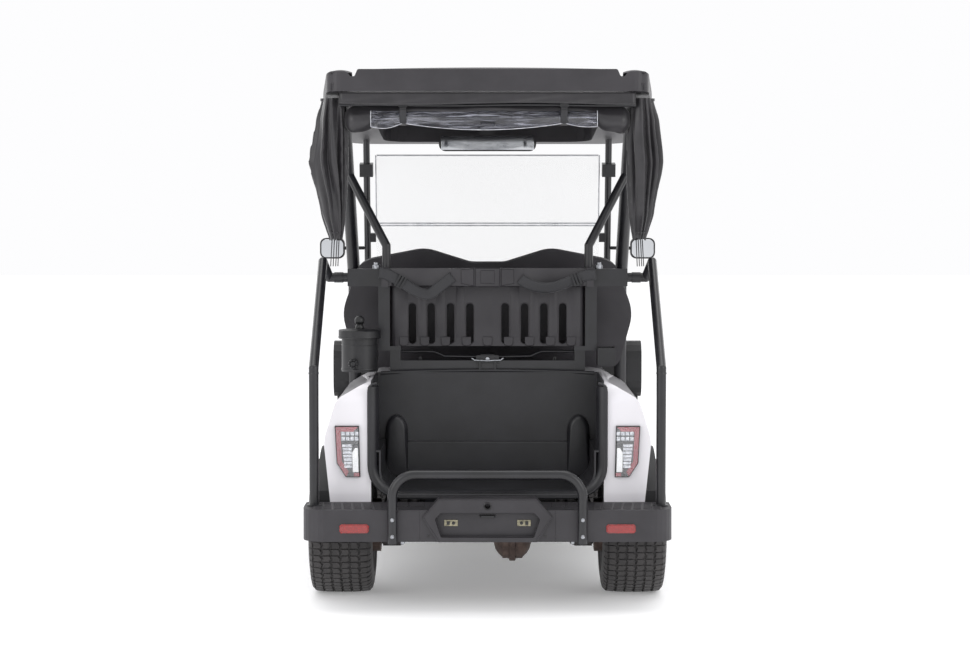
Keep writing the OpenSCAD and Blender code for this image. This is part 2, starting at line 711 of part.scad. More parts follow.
module loop_bar() color(soft_black) {
  x = loop_w / 2;
  bend_r = 76;
  y = bumper_y - loop_d / 2 - fit;
  top = bumper_z1 + 118;
  both_sides() {
    rod([x, y, bumper_z0 - 4], [x, y, top - bend_r], loop_d);
    translate([x - bend_r, y, top - bend_r]) rotate([90, 0, 0])
      rotate_extrude(angle = 90) translate([bend_r, 0]) circle(d = loop_d);
  }
  rod([bend_r - x, y, top], [x - bend_r, y, top], loop_d);
}

rail_out = body_w / 2 + 24;       // middle of a grab rail
arm_end = seat_w / 2 + 34;        // end of the rack's arm
arm_z = shell_z - 95;
rack_y = well_front_y + 15;       // middle of the rack's posts
module grab_rails() color(soft_black) both_sides()
  bent_bar([[rail_out, bumper_y + 105, bumper_z1 + fit], [rail_out, bumper_y + 105, deck_z + 50],
            [rail_out, rack_y - 40, arm_z + 55], [rail_out - 18, rack_y, arm_z],
            [arm_end + fit, rack_y, arm_z]], rail_d);

post_x = 358;
post_w = 40;
basket_z = floor_z + 503;
basket_h = 209;

module bag_rack() color(soft_black) {
  upright_x = 320;
  both_sides() {
    block([upright_x - 18, rack_y + 7, deck_z + fit], [upright_x + 19, rack_y + 44, basket_z - 8]);
    block([upright_x - 20, rack_y - 15, basket_z - 16], [post_x + post_w / 2, rack_y + 44, basket_z - fit]);
    block([post_x - post_w / 2, rack_y - 15, basket_z - 16], [post_x + post_w / 2, rack_y + 15, arm_z + 20]);
    block([post_x, rack_y - 15, arm_z - 30], [arm_end, rack_y + 15, arm_z + 30]);
  }
  block([-upright_x, rack_y + 8, deck_z + 6], [upright_x, rack_y + 43, deck_z + 41]);
  block([-24, rack_y + 2, deck_z + 4], [24, rack_y + 43, deck_z + 62]);
}

module sweater_basket() color(charcoal) {
  half = post_x - post_w / 2 - fit;
  y0 = rack_y - 15;
  l = 190;
  t = 5;
  slot_w = 26;
  difference() {
    translate([0, y0 + l / 2, basket_z]) linear_extrude(basket_h) polygon(rect(2 * half, l, 30));
    translate([0, y0 + l / 2, basket_z + t]) linear_extrude(basket_h)
      polygon(rect(2 * half - 2 * t, l - 2 * t, 26));
    for (x = [61, 128, 195, 260], s = [-1, 1])
      translate([s * x, y0, basket_z + 78]) along_y(4 * t) polygon(rect(slot_w, 140, 12));
  }
}

module bag_holder() color(charcoal) {
  half = post_x + 6;
  y1 = rack_y - 15 - fit;
  l = 60;
  z0 = arm_z - 26;
  cradle_r = 190;
  difference() {
    block([-half, y1 - l, z0], [half, y1, z0 + 59]);
    // a shallow cradle for each bag
    both_sides() translate([half / 2 + 45, y1 - l - cradle_r + 30, z0 - 1])
      cylinder(r = cradle_r, h = 62, $fn = 96);
  }
}

// Webbing hung across the holder, outlines in X and Z
left_strap = [[-372, 36], [-350, 26], [-235, -34], [-190, -40], [-150, 0], [-112, 33],
              [-132, 33], [-178, 0], [-205, -8], [-246, 2], [-340, 64], [-372, 64]];
right_strap = [[112, 22], [128, -2], [196, -18], [238, -14], [330, 18], [372, 26],
               [372, 58], [322, 52], [232, 20], [196, 14], [140, 30]];
module bag_straps() color("#232326") for (s = [left_strap, right_strap])
  translate([0, rack_y - 15 - 60 - 2 - 2 * fit, arm_z - 30]) along_y(4) polygon(rounded(s, 4, 2));

// ---- roof -------------------------------------------------------------------
roof_y = rear_y - 170;
roof_tilt = atan(roof_drop / roof_l);
function roof_under(y) = roof_z - roof_edge / cos(roof_tilt) - (y - roof_y) * tan(roof_tilt);
module at_roof() translate([0, roof_y, roof_z]) rotate([-roof_tilt, 0, 0]) children();
module above_roof() at_roof() block([-900, -400, -roof_edge - fit], [900, roof_l + 400, 400]);

roof_plan = rounded([[-roof_rear_w / 2, 0], [roof_rear_w / 2, 0], [roof_w / 2, 420],
                     [roof_w / 2, roof_l], [-roof_w / 2, roof_l], [-roof_w / 2, 420]],
                    [50, 50, 300, 110, 110, 300], 6);

module roof() color(charcoal) at_roof() {
  rim_w = 84;
  skin = 10;
  panel_half = 430;
  half = [[panel_half, 0], [panel_half + 10, -24], [panel_half + 24, -24], [panel_half + 34, -8], [520, -6], [roof_w / 2 + 1, -26],
          [roof_w / 2 + 1, -roof_edge]];
  difference() {
    intersection() {
      translate([0, 0, -roof_edge]) linear_extrude(roof_edge) polygon(roof_plan);
      translate([0, roof_l / 2, 0]) along_y(roof_l + 20)
        polygon(rounded(mirrored(half), [8, 6, 6, 20, 20, 20, 4, 4, 20, 20, 20, 6, 6, 8]));
    }
    translate([0, roof_l / 2, -roof_edge - 1]) linear_extrude(roof_edge + 1 - skin)
      polygon(rect(2 * panel_half - 20, roof_l - 2 * rim_w, 90));
  }
}

strut_x = seat_w / 2 + 6 + strut_d / 2;
strut_y = seat_back_y + strut_d / 2;
strut_top_y = roof_y + 230;
module rear_struts() color(soft_black) both_sides() difference() {
  knee = [strut_x, strut_y - 13, shell_z - 125];
  head = [strut_x + 14, strut_top_y, roof_z - 90];
  joint = knee + (head - knee) * 0.62;
  union() {
    bent_bar([[strut_x, strut_y, floor_z + fit], knee, head + (head - knee) * 0.05], strut_d);
    // brace from the rack's arm to the strut
    bent_bar([[post_x - 8, rack_y, arm_z + 30 + fit], [post_x - 8, rack_y, arm_z + 110], joint], 30);
  }
  above_roof();
}

module front_struts() color(soft_black) both_sides() {
  x = 490;
  z1 = 1700;
  difference() {
    union() {
      rod([x, glass_at(cowl_top - 80), cowl_top - 80], [x, glass_at(z1), z1], front_strut_d);
      // clamp on the strut, above the fold
      translate([x, glass_at(1460), 1460]) rotate([glass_tilt, 0, 0]) block([-26, -24, -26], [28, 24, 26]);
      // clips that hold the lower pane
      for (z = [990, 1185]) translate([x, glass_at(z), z]) rotate([glass_tilt, 0, 0])
        block([-490 + glass_w / 2 + fit, -8, -18], [0, 8, 18]);
    }
    cowl_form(-fit);
    above_roof();
  }
}

glass_w = 910;
fold_z = 1238;
fold_out = 12;        // fold's axis in front of the glass
fold_pin_d = 6;
module at_fold() translate([0, glass_at(fold_z), fold_z]) rotate([glass_tilt, 0, 0]) children();

module windshield_lower() color("#dfe9ee", 0.35) difference() {
  union() {
    at_fold() block([-glass_w / 2, -glass_t / 2, -390], [glass_w / 2, glass_t / 2, -3]);
    // fold barrels
    at_fold() both_sides() {
      translate([230, glass_t / 2 + fold_out, 0]) rotate([0, 90, 0]) cylinder(d = 14, h = 60);
      block([230, 0, -40], [290, glass_t / 2 + 4, -8]);
      block([230, glass_t / 2, -12], [290, glass_t / 2 + fold_out, -3]);
    }
  }
  cowl_form(-fit);
  at_fold() both_sides() translate([200, glass_t / 2 + fold_out, 0]) rotate([0, 90, 0])
    cylinder(d = fold_pin_d + 2 * pin_gap, h = 120);
}

module windshield_upper() color("#dfe9ee", 0.35) at_fold() {
  block([-glass_w / 2, -glass_t / 2, 3], [glass_w / 2, glass_t / 2, 286]);
  both_sides() {
    translate([214, glass_t / 2 + fold_out, 0]) rotate([0, 90, 0]) cylinder(d = fold_pin_d, h = 92);
    for (x = [212, 296]) {
      block([x, glass_t / 2 + fold_out - 6, -6], [x + 12, glass_t / 2 + fold_out + 6, 9]);
      block([x, -glass_t / 2, 8], [x + 12, glass_t / 2 + fold_out + 6, 24]);
    }
  }
}

module cabin_mirror() color(soft_black) {
  y = glass_y - 190;
  translate([0, y, 1566]) along_y(26) polygon(rect(390, 66, 26));
  block([-30, y - 10, 1590], [30, y + 10, roof_under(y) + roof_edge - 11]);
}

module side_mirrors() color(soft_black) both_sides() {
  z = 1142;
  x = 490 + front_strut_d / 2 + 1.8;
  rod([x, glass_at(z), z], [600, glass_at(z) - 40, z], 14);
  translate([630, glass_at(z) - 54, z]) along_y(34) polygon(rect(100, 84, 24));
}

// ---- what hangs on the rack and the roof --------------------------------------
module ball_washer() color("#2b2b2f") {
  c = [-post_x - post_w / 2 - 60, rack_y - 95, deck_z + 12];
  d = 123;
  translate(c) {
    cylinder(d = d, h = 113);
    translate([0, 0, 113]) cylinder(d = d + 21, h = 26);
    translate([0, 0, 139]) cylinder(d = 18, h = 26);
    translate([0, 0, 174]) sphere(d = 34);
    translate([-18, -d / 2 - 8, 30]) sphere(d = 34);
    // bracket to the rack's post
    block([0, 0, 40], [60 - fit, 95, 72]);
  }
}

module bottle_bracket() color(charcoal) {
  x0 = post_x + post_w / 2 + fit;
  t = 4;
  difference() {
    block([x0, rack_y - 75, basket_z - 64], [x0 + 62, rack_y + 5, basket_z - 3]);
    block([x0 + t, rack_y - 75 + t, basket_z - 64 + t], [x0 + 62 - t, rack_y + 5 - t, basket_z]);
  }
}

module bag_cover_roll() color("#1f1f22") {
  depth = 100;
  y = roof_y + 52;
  z1 = roof_under(y + 10) - fit;
  translate([0, y, z1 - 61]) along_x(2 * strut_x + 22) polygon(rect(depth, 122, 42));
}

// One gathered curtain: [height, x, y, half width, half depth] from top to foot
module side_curtains() color("#232225") {
  y = roof_y + 80;
  top = roof_under(y + 60) - fit;
  rings = [[top - 10, 532, y, 32, 60], [1600, 546, y, 38, 62], [1466, 556, y + 10, 38, 60],
           [1300, 530, y + 46, 34, 50], [1212, 515, y + 72, 24, 32]];
  both_sides() for (i = [0:len(rings) - 2]) hull() for (r = [rings[i], rings[i + 1]])
    translate([r[1], r[2], r[0]]) linear_extrude(r[0] > 1650 ? 10 : 1)
      polygon([for (a = [0:20:340]) [r[3] * cos(a), r[4] * sin(a)]]);
}

chassis_frame();
front_axle();
tie_rod();
knuckle_left();
knuckle_right();
rim_front_left();
rim_front_right();
rim_rear_left();
rim_rear_right();
tyre_front_left();
tyre_front_right();
tyre_rear_left();
tyre_rear_right();
rear_axle();
drive_motor();
battery_pack();
leaf_springs();
floorboard();
front_cowl();
wheel_arch_liners();
front_bumper();
headlights();
dashboard();
steering_column();
steering_wheel();
pedals();
seat_base();
seat_pan();
seat_cushion();
seat_backrests();
seat_back_shell();
hip_restraints();
rear_body();
fender_flares();
bagwell_liner();
rear_lamps();
rear_bumper();
loop_bar();
grab_rails();
sweater_basket();
bag_rack();
bag_holder();
bag_straps();
rear_struts();
front_struts();
roof();
windshield_lower();
windshield_upper();
cabin_mirror();
side_mirrors();
ball_washer();
bottle_bracket();
bag_cover_roll();
side_curtains();
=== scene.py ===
"""Two-seat electric golf cart: the visual model, put together in the order of the real one."""

import math
import random

import bmesh
import bpy
from mathutils import Matrix, Vector
from mathutils.bvhtree import BVHTree


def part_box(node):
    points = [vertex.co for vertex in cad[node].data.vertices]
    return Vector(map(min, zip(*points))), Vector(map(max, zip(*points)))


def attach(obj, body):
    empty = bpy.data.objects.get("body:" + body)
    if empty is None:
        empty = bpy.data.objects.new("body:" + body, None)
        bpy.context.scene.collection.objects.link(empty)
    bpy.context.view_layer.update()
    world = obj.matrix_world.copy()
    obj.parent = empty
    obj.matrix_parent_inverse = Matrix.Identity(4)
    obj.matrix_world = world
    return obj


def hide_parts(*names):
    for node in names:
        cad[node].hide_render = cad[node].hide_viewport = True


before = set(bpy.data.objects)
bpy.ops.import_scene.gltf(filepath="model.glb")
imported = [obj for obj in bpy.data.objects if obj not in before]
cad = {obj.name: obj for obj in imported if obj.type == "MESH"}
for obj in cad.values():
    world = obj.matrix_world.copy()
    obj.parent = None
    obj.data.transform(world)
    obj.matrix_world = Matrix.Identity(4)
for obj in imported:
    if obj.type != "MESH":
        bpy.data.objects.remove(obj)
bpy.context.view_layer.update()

# ---- Studio ------------------------------------------------------------------
# A long lens straight behind the cart, a little above the seat back's height, and big soft
# boxes on a pale sweep: the light is nearly even, and every dark plastic keeps a soft sheen.
LENS_MM = 79.8
EYE = (0.0, -8.07, 1.338)
PITCH_DEG = 3.29
YAW_DEG = 0.067

camera_data = bpy.data.cameras.new("camera")
camera_data.lens = LENS_MM
camera_data.sensor_width = 36.0
camera_data.clip_start, camera_data.clip_end = 0.1, 100.0
camera = bpy.data.objects.new("camera", camera_data)
camera.location = EYE
camera.rotation_euler = (math.radians(90 - PITCH_DEG), 0, math.radians(YAW_DEG))
bpy.context.scene.collection.objects.link(camera)
bpy.context.scene.camera = camera
bpy.context.scene.view_settings.view_transform = "Standard"


def linear(hex_colour):
    """An sRGB hex value as the linear colour that the shaders take."""
    out = []
    for at in (1, 3, 5):
        c = int(hex_colour[at : at + 2], 16) / 255
        out.append(c / 12.92 if c <= 0.04045 else ((c + 0.055) / 1.055) ** 2.4)
    return (*out, 1.0)


def soft_box(name, place, aim, size, watts):
    """A rectangular light at place, turned to face aim; size in metres."""
    data = bpy.data.lights.new(name, "AREA")
    data.shape = "RECTANGLE"
    data.size, data.size_y = size
    data.energy = watts
    data.color = (1.0, 0.995, 0.985)
    box = bpy.data.objects.new(name, data)
    box.location = place
    box.rotation_euler = (Vector(aim) - Vector(place)).to_track_quat("-Z", "Y").to_euler()
    bpy.context.scene.collection.objects.link(box)


soft_box("overhead", (0, -0.3, 5.2), (0, 0, 0.8), (5.0, 5.0), 130)
soft_box("rear_left", (-4.2, -4.6, 2.7), (0, -0.6, 0.9), (2.6, 3.2), 60)
soft_box("rear_right", (4.2, -4.6, 2.7), (0, -0.6, 0.9), (2.6, 3.2), 60)
soft_box("front_left", (-4.0, 4.6, 2.8), (0, 0.4, 0.9), (2.6, 3.2), 38)
soft_box("front_right", (4.0, 4.6, 2.8), (0, 0.4, 0.9), (2.6, 3.2), 38)

world = bpy.data.worlds.new("pale_room")
bpy.context.scene.world = world
world.use_nodes = True
world.node_tree.nodes["Background"].inputs["Color"].default_value = linear("#fdfdfe")
world.node_tree.nodes["Background"].inputs["Strength"].default_value = 1.0


def add(tree, kind, settings=None, **links):
    """One node, with its settings; a link's value is a socket, or a number or colour."""
    node = tree.nodes.new(kind)
    for name, value in (settings or {}).items():
        setattr(node, name, value)
    for name, value in links.items():
        key = int(name[1:]) if name[0] == "i" and name[1:].isdigit() else name.replace("_", " ")
        socket = node.inputs[key]
        if isinstance(value, bpy.types.NodeSocket):
            tree.links.new(value, socket)
        else:
            socket.default_value = value
    return node


def new_material(name, **sockets):
    """An empty named finish: its node tree and shader, with the same-everywhere values set."""
    material = bpy.data.materials.new(name)
    material.use_nodes = True
    shader = material.node_tree.nodes["Principled BSDF"]
    for key, value in sockets.items():
        shader.inputs[key.replace("_", " ")].default_value = value
    return material, material.node_tree, shader


def speckle(tree, cell_mm, detail=3.0, rough=0.55):
    """Noise on Object coordinates whose features are about cell_mm across."""
    where = add(tree, "ShaderNodeTexCoord").outputs["Object"]
    return add(
        tree, "ShaderNodeTexNoise", None, Vector=where, Scale=1000.0 / cell_mm,
        Detail=detail, Roughness=rough,
    )


def maths(tree, operation, *values):
    """A maths node's result; its values are sockets or numbers, in its own order."""
    return add(tree, "ShaderNodeMath", {"operation": operation},
               **{f"i{k}": value for k, value in enumerate(values)}).outputs[0]


def ramp(tree, factor, low, high, low_at=0.3, high_at=0.7):
    """A factor turned into a blend of two colours or greys."""
    node = add(tree, "ShaderNodeValToRGB", None, Fac=factor)
    for element, at, colour in zip(node.color_ramp.elements, (low_at, high_at), (low, high)):
        element.position = at
        element.color = linear(colour) if isinstance(colour, str) else (colour,) * 3 + (1.0,)
    return node.outputs["Color"]


def mottle(tree, shader, cell_mm, dark, pale):
    """Gives the shader a colour that drifts between two close tones, cell_mm across."""
    tree.links.new(ramp(tree, speckle(tree, cell_mm).outputs["Fac"], dark, pale),
                   shader.inputs["Base Color"])


def bump(tree, shader, height, depth_mm, strength=1.0):
    """Relief from a height, depth_mm deep where the height is 1."""
    node = add(tree, "ShaderNodeBump", None, Strength=strength, Distance=depth_mm / 1000.0,
               Height=height)
    tree.links.new(node.outputs["Normal"], shader.inputs["Normal"])
    return node


def plain_finish(name, cell_mm, dark, pale, **sockets):
    """A smooth finish whose colour drifts between two close tones, cell_mm across."""
    material, tree, shader = new_material(name, **sockets)
    mottle(tree, shader, cell_mm, dark, pale)
    return material


def make_mesh(name, points, faces, smooth=True):
    """A mesh object at the origin, with its place in its points."""
    data = bpy.data.meshes.new(name)
    data.from_pydata([tuple(p) for p in points], [], faces)
    data.update()
    if smooth:
        data.polygons.foreach_set("use_smooth", [True] * len(data.polygons))
    thing = bpy.data.objects.new(name, data)
    bpy.context.scene.collection.objects.link(thing)
    return thing


studio_floor = make_mesh(
    "studio_floor", [(-30, -30, 0), (30, -30, 0), (30, 30, 0), (-30, 30, 0)], [(0, 1, 2, 3)])
# painted studio floor: matt and nearly white
studio_floor.data.materials.append(plain_finish(
    "matt_studio_paint", 900, "#f3f3f4", "#f7f7f8", Roughness=0.85, Emission_Strength=0.22))


def finish_node(node, *materials):
    """Gives a carried-over piece its finishes, one for each of its slots."""
    slots = cad[node].data.materials
    if len(slots) == 0:
        slots.append(materials[0])
    for i in range(len(slots)):
        slots[i] = materials[min(i, len(materials) - 1)]

# ---- Frame -------------------------------------------------------------------
# Two welded box rails with cross members and towers, and the bag rack's and the roof's tubes:
# mild steel, phosphated and powder coated black, with a satin sheen and a fine orange peel.


def powder_coat(name, dark, pale, roughness):
    """Powder-coated steel: satin, with a fine orange peel."""
    material, tree, shader = new_material(name, Roughness=roughness, Coat_Weight=0.15,
                                          Coat_Roughness=0.25)
    mottle(tree, shader, 60, dark, pale)
    bump(tree, shader, speckle(tree, 3.0).outputs["Fac"], 0.10, 0.45)
    return material


frame_coat = powder_coat("powder_coated_steel_black", "#0f0f11", "#17171a", 0.42)
tube_coat = powder_coat("powder_coated_tube_black", "#101013", "#19191e", 0.33)
finish_node("chassis_frame", frame_coat)

# ---- Axles, springs and steering ----------------------------------------------
# Forged knuckles and leaf springs oiled black, and the rear axle's cast aluminium case, which
# road film has turned brown: the forgings are dull and pitted, the case is grainy sand-cast.


def forging():
    material, tree, shader = new_material("forged_steel_oiled", Metallic=0.75, Roughness=0.48)
    scale = speckle(tree, 14, 5.0)
    tree.links.new(ramp(tree, scale.outputs["Fac"], "#232326", "#3f3c3b"),
                   shader.inputs["Base Color"])
    bump(tree, shader, speckle(tree, 5.0).outputs["Fac"], 0.35, 0.6)
    return material


def sand_casting():
    material, tree, shader = new_material("sand_cast_aluminium_filmed", Metallic=0.35,
                                          Roughness=0.62)
    film = speckle(tree, 45, 6.0, 0.7)
    tree.links.new(ramp(tree, film.outputs["Fac"], "#3b2f2c", "#6b5a52"),
                   shader.inputs["Base Color"])
    bump(tree, shader, speckle(tree, 2.5).outputs["Fac"], 0.5, 0.8)
    return material


forged = forging()
cast_case = sand_casting()
# zinc plate: bright and slightly blue, with a soft wipe of grey
zinc = plain_finish("zinc_plated_steel", 6, "#8d8f94", "#b9bbc0", Metallic=1.0, Roughness=0.32)
for node in ("front_axle", "tie_rod", "knuckle_left", "knuckle_right", "leaf_springs"):
    finish_node(node, forged)
finish_node("rear_axle", cast_case)


def skin(rows, n, ring=True, loop=False):
    """Four-sided faces over rows of n points; a ring joins each row's ends, a loop the rows'."""
    return [(i * n + k, i * n + (k + 1) % n, (i + 1) % rows * n + (k + 1) % n,
             (i + 1) % rows * n + k)
            for i in range(rows if loop else rows - 1) for k in range(n if ring else n - 1)]


def caps(rows, n):
    """The two end faces of rows of n points."""
    return [tuple(reversed(range(n))), tuple((rows - 1) * n + k for k in range(n))]


def tube_mesh(points, radius, sides=12, closed=False):
    """A round bar swept along points, with flat ends, as (points, faces)."""
    points = [Vector(p) for p in points]
    count = len(points)
    out = []
    up = None
    for i, p in enumerate(points):
        if closed:
            along = points[(i + 1) % count] - points[i - 1]
        else:
            along = points[min(i + 1, count - 1)] - points[max(i - 1, 0)]
        along.normalize()
        if up is None:
            up = along.orthogonal().normalized()
        else:
            up = (up - along * up.dot(along)).normalized()
        side = along.cross(up)
        r = radius[i] if isinstance(radius, (list, tuple)) else radius
        for k in range(sides):
            a = 2 * math.pi * k / sides
            out.append(p + (up * math.cos(a) + side * math.sin(a)) * r)
    return out, skin(count, sides, loop=closed) + ([] if closed else caps(count, sides))


def soften(data, degrees):
    """Smooth shading, with every edge sharper than this many degrees kept crisp."""
    data.shade_smooth()
    data.set_sharp_from_angle(angle=math.radians(degrees))


def reworked(data, *jobs):
    """Runs mesh-editing jobs on a mesh's data, then turns every face outwards."""
    work = bmesh.new()
    work.from_mesh(data)
    for job in jobs:
        job(work)
    bmesh.ops.recalc_face_normals(work, faces=work.faces)
    work.to_mesh(data)
    work.free()


def weld(work):
    bmesh.ops.remove_doubles(work, verts=work.verts, dist=1e-6)


class Shape:
    """Points and faces gathered from several pieces of one part, then made into one mesh."""

    def __init__(self):
        self.points, self.faces, self.finish = [], [], []

    def put(self, points, faces, finish=0):
        base = len(self.points)
        self.points += [Vector(p) for p in points]
        self.faces += [tuple(i + base for i in f) for f in faces]
        self.finish += [finish] * len(faces)
        return self

    def tube(self, points, radius, sides=12, finish=0, closed=False):
        return self.put(*tube_mesh(points, radius, sides, closed=closed), finish=finish)

    def lathe(self, profile, place, axis=(0, 0, 1), sides=24, finish=0, loop=False):
        """Rings of (distance along axis, radius) about an axis through place.

        The ends are capped, or with loop the last ring joins the first.
        """
        axis = Vector(axis).normalized()
        u = axis.orthogonal().normalized()
        v = axis.cross(u)
        pts = []
        for h, r in profile:
            for k in range(sides):
                a = 2 * math.pi * k / sides
                pts.append(Vector(place) + axis * h + (u * math.cos(a) + v * math.sin(a)) * r)
        n = len(profile)
        return self.put(pts, skin(n, sides, loop=loop) + ([] if loop else caps(n, sides)), finish)

    def slab(self, outline, lift, finish=0, axes=((1, 0, 0), (0, 1, 0), (0, 0, 1)), at=(0, 0, 0),
             edge=0.0):
        """A flat outline in the first two axes, lifted along the third, with a chamfered top."""
        x, y, z = (Vector(a) for a in axes)
        at = Vector(at)
        n = len(outline)
        cx = sum(p[0] for p in outline) / n
        cy = sum(p[1] for p in outline) / n
        levels = [(0.0, 0.0), (lift - edge, 0.0), (lift, edge)] if edge else [(0, 0), (lift, 0)]
        pts = []
        for h, inset in levels:
            for px, py in outline:
                d = math.hypot(px - cx, py - cy) or 1.0
                k = 1 - inset / d
                pts.append(at + x * (cx + (px - cx) * k) + y * (cy + (py - cy) * k) + z * h)
        return self.put(pts, skin(len(levels), n) + caps(len(levels), n), finish)

    def bar(self, low, high, finish=0, edge=0.0):
        """A block between two corners, with its four upper edges eased when edge is given."""
        (a, b, c), (d, e, f) = low, high
        return self.slab(rect(a, b, d, e), f - c, finish, at=(0, 0, c), edge=edge)

    def make(self, name, body, *materials, smooth=30, bevel=0.0, slot=None, both=False):
        if both:
            half = len(self.points)
            self.points += [Vector((-p.x, p.y, p.z)) for p in self.points[:half]]
            self.faces += [tuple(i + half for i in reversed(f)) for f in list(self.faces)]
            self.finish += list(self.finish)
        thing = make_mesh(name, self.points, self.faces, smooth=False)
        for material in materials:
            thing.data.materials.append(material)
        thing.data.polygons.foreach_set("material_index", self.finish)
        reworked(thing.data)
        soften(thing.data, smooth)
        if bevel:
            cut = thing.modifiers.new("eased_edges", "BEVEL")
            cut.width = bevel
            cut.segments = 2
            cut.limit_method = "ANGLE"
            cut.angle_limit = math.radians(35)
        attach(thing, body)
        return thing


def rect(left, low, right, high):
    """A rectangle's four corners, to lift as a slab."""
    return [(left, low), (right, low), (right, high), (left, high)]


def hexagon(radius):
    return [(radius * math.cos(a), radius * math.sin(a))
            for a in (k * math.pi / 3 for k in range(6))]


# U-bolts that clamp the axle to its springs, with their nuts under the spring plates.
u_bolts = Shape()
REAR_Y, HUB_Z = -0.760, 0.2285
for x in (0.29, 0.35):
    for dy in (-0.045, 0.045):
        u_bolts.tube([(x, REAR_Y + dy, HUB_Z - 0.062), (x, REAR_Y + dy, HUB_Z + 0.040)],
                     0.0055, 8)
        u_bolts.slab(hexagon(0.010), 0.010, at=(x, REAR_Y + dy, HUB_Z - 0.058))
# the axle case's rounded halves, bolted round their joint
case = Shape()
AXLE_MIDDLE = (0.085, REAR_Y, HUB_Z)
case.lathe([(-0.064, 0.060), (-0.0585, 0.082), (-0.048, 0.098), (-0.034, 0.1110), (-0.010, 0.1165),
            (-0.008, 0.1235), (0.008, 0.1235), (0.010, 0.1165), (0.034, 0.1110), (0.048, 0.098),
            (0.0585, 0.082), (0.064, 0.060)], AXLE_MIDDLE, (1, 0, 0), 48)
for k in range(12):
    a = 2 * math.pi * k / 12
    y, z = AXLE_MIDDLE[1] + 0.1180 * math.cos(a), AXLE_MIDDLE[2] + 0.1180 * math.sin(a)
    case.slab(hexagon(0.0065), 0.022, axes=((0, 1, 0), (0, 0, 1), (1, 0, 0)), at=(0.074, y, z),
              edge=0.001)
case.make("axle_case_halves", "chassis", cast_case, slot="cast_housing", smooth=40)
u_bolts.make("axle_u_bolts", "chassis", zinc, both=True, slot="forged_steel")

# ---- Wheels ------------------------------------------------------------------
# Four 8-inch wheels: a rolled rim with a cast seven-spoke face, silver lacquered over a bead
# blasted surface, and four zinc lug nuts round a black centre cap.
FRONT_Y = 0.880
FRONT_X, REAR_X = 0.435, 0.492
TYRE_R = 0.2285
LUG_CIRCLE_R = 0.0508
LIP_SIDES = 72


def silver_lacquer():
    material, tree, shader = new_material("lacquered_cast_aluminium", Metallic=0.85,
                                          Roughness=0.34, Coat_Weight=0.4, Coat_Roughness=0.12)
    mottle(tree, shader, 1.8, "#a9abb0", "#c6c8cc")
    bump(tree, shader, speckle(tree, 1.2).outputs["Fac"], 0.05, 0.4)
    return material


def moulded_plastic(name, dark, pale, roughness, grain_mm=2.2, depth_mm=0.14, sheen=0.0):
    """Injection-moulded ABS or polypropylene with a spark-eroded leather grain."""
    material, tree, shader = new_material(name, Roughness=roughness, IOR=1.5,
                                          Sheen_Weight=sheen)
    mottle(tree, shader, 120, dark, pale)
    where = add(tree, "ShaderNodeTexCoord").outputs["Object"]
    cells = add(tree, "ShaderNodeTexVoronoi", {"feature": "SMOOTH_F1"}, Vector=where,
                Scale=1000 / grain_mm, Smoothness=0.6)
    bump(tree, shader, cells.outputs["Distance"], depth_mm, 0.5)
    return material


silver = silver_lacquer()
gloss_black = moulded_plastic("moulded_abs_black_fine", "#141416", "#1b1b1e", 0.33, 1.2, 0.03)


def node_tree(name, **inputs):
    """A geometry node tree that takes and gives a mesh, with these named inputs beside it."""
    tree = bpy.data.node_groups.new(name, "GeometryNodeTree")
    face = tree.interface
    face.new_socket("Geometry", in_out="INPUT", socket_type="NodeSocketGeometry")
    for label, kind in inputs.items():
        face.new_socket(label.replace("_", " "), in_out="INPUT", socket_type="NodeSocket" + kind)
    face.new_socket("Geometry", in_out="OUTPUT", socket_type="NodeSocketGeometry")
    return tree


def ring_tree():
    """Copies a piece round the X axis, then moves the ring to its centre."""
    tree = node_tree("ring_round_axle", Count="Int", Phase="Float", Centre="Vector",
                     Finish="Material")
    asked = add(tree, "NodeGroupInput")
    spots = add(tree, "GeometryNodePoints", None, Count=asked.outputs["Count"])
    step = maths(tree, "DIVIDE", 2 * math.pi, asked.outputs["Count"])
    turn = maths(tree, "MULTIPLY_ADD", add(tree, "GeometryNodeInputIndex").outputs[0], step,
                 asked.outputs["Phase"])
    angles = add(tree, "ShaderNodeCombineXYZ", None, X=turn)
    copies = add(tree, "GeometryNodeInstanceOnPoints", None, Points=spots.outputs[0],
                 Instance=asked.outputs["Geometry"], Rotation=angles.outputs[0])
    real = add(tree, "GeometryNodeRealizeInstances", None, Geometry=copies.outputs[0])
    moved = add(tree, "GeometryNodeTransform", None, Geometry=real.outputs[0],
                Translation=asked.outputs["Centre"])
    done = add(tree, "GeometryNodeSetMaterial", None, Geometry=moved.outputs[0],
               Material=asked.outputs["Finish"])
    add(tree, "NodeGroupOutput", None, Geometry=done.outputs[0])
    return tree


def grow(thing, tree, name, **values):
    """Runs a node tree on a mesh with those named inputs, and returns the plain mesh it makes."""
    worker = thing.modifiers.new(name, "NODES")
    worker.node_group = tree
    for item in tree.interface.items_tree:
        if item.item_type == "SOCKET" and item.in_out == "INPUT" and item.name in values:
            worker[item.identifier] = values[item.name]
    bpy.context.view_layer.update()
    seen = thing.evaluated_get(bpy.context.evaluated_depsgraph_get())
    data = bpy.data.meshes.new_from_object(seen)
    data.name = name
    thing.modifiers.remove(worker)
    bpy.data.objects.remove(thing)
    made = bpy.data.objects.new(name, data)
    bpy.context.scene.collection.objects.link(made)
    return made


def raw(shape, name, smooth=30):
    """The gathered faces as a loose object, for a node tree to work on."""
    thing = make_mesh(name, shape.points, shape.faces, smooth=False)
    reworked(thing.data)
    soften(thing.data, smooth)
    return thing


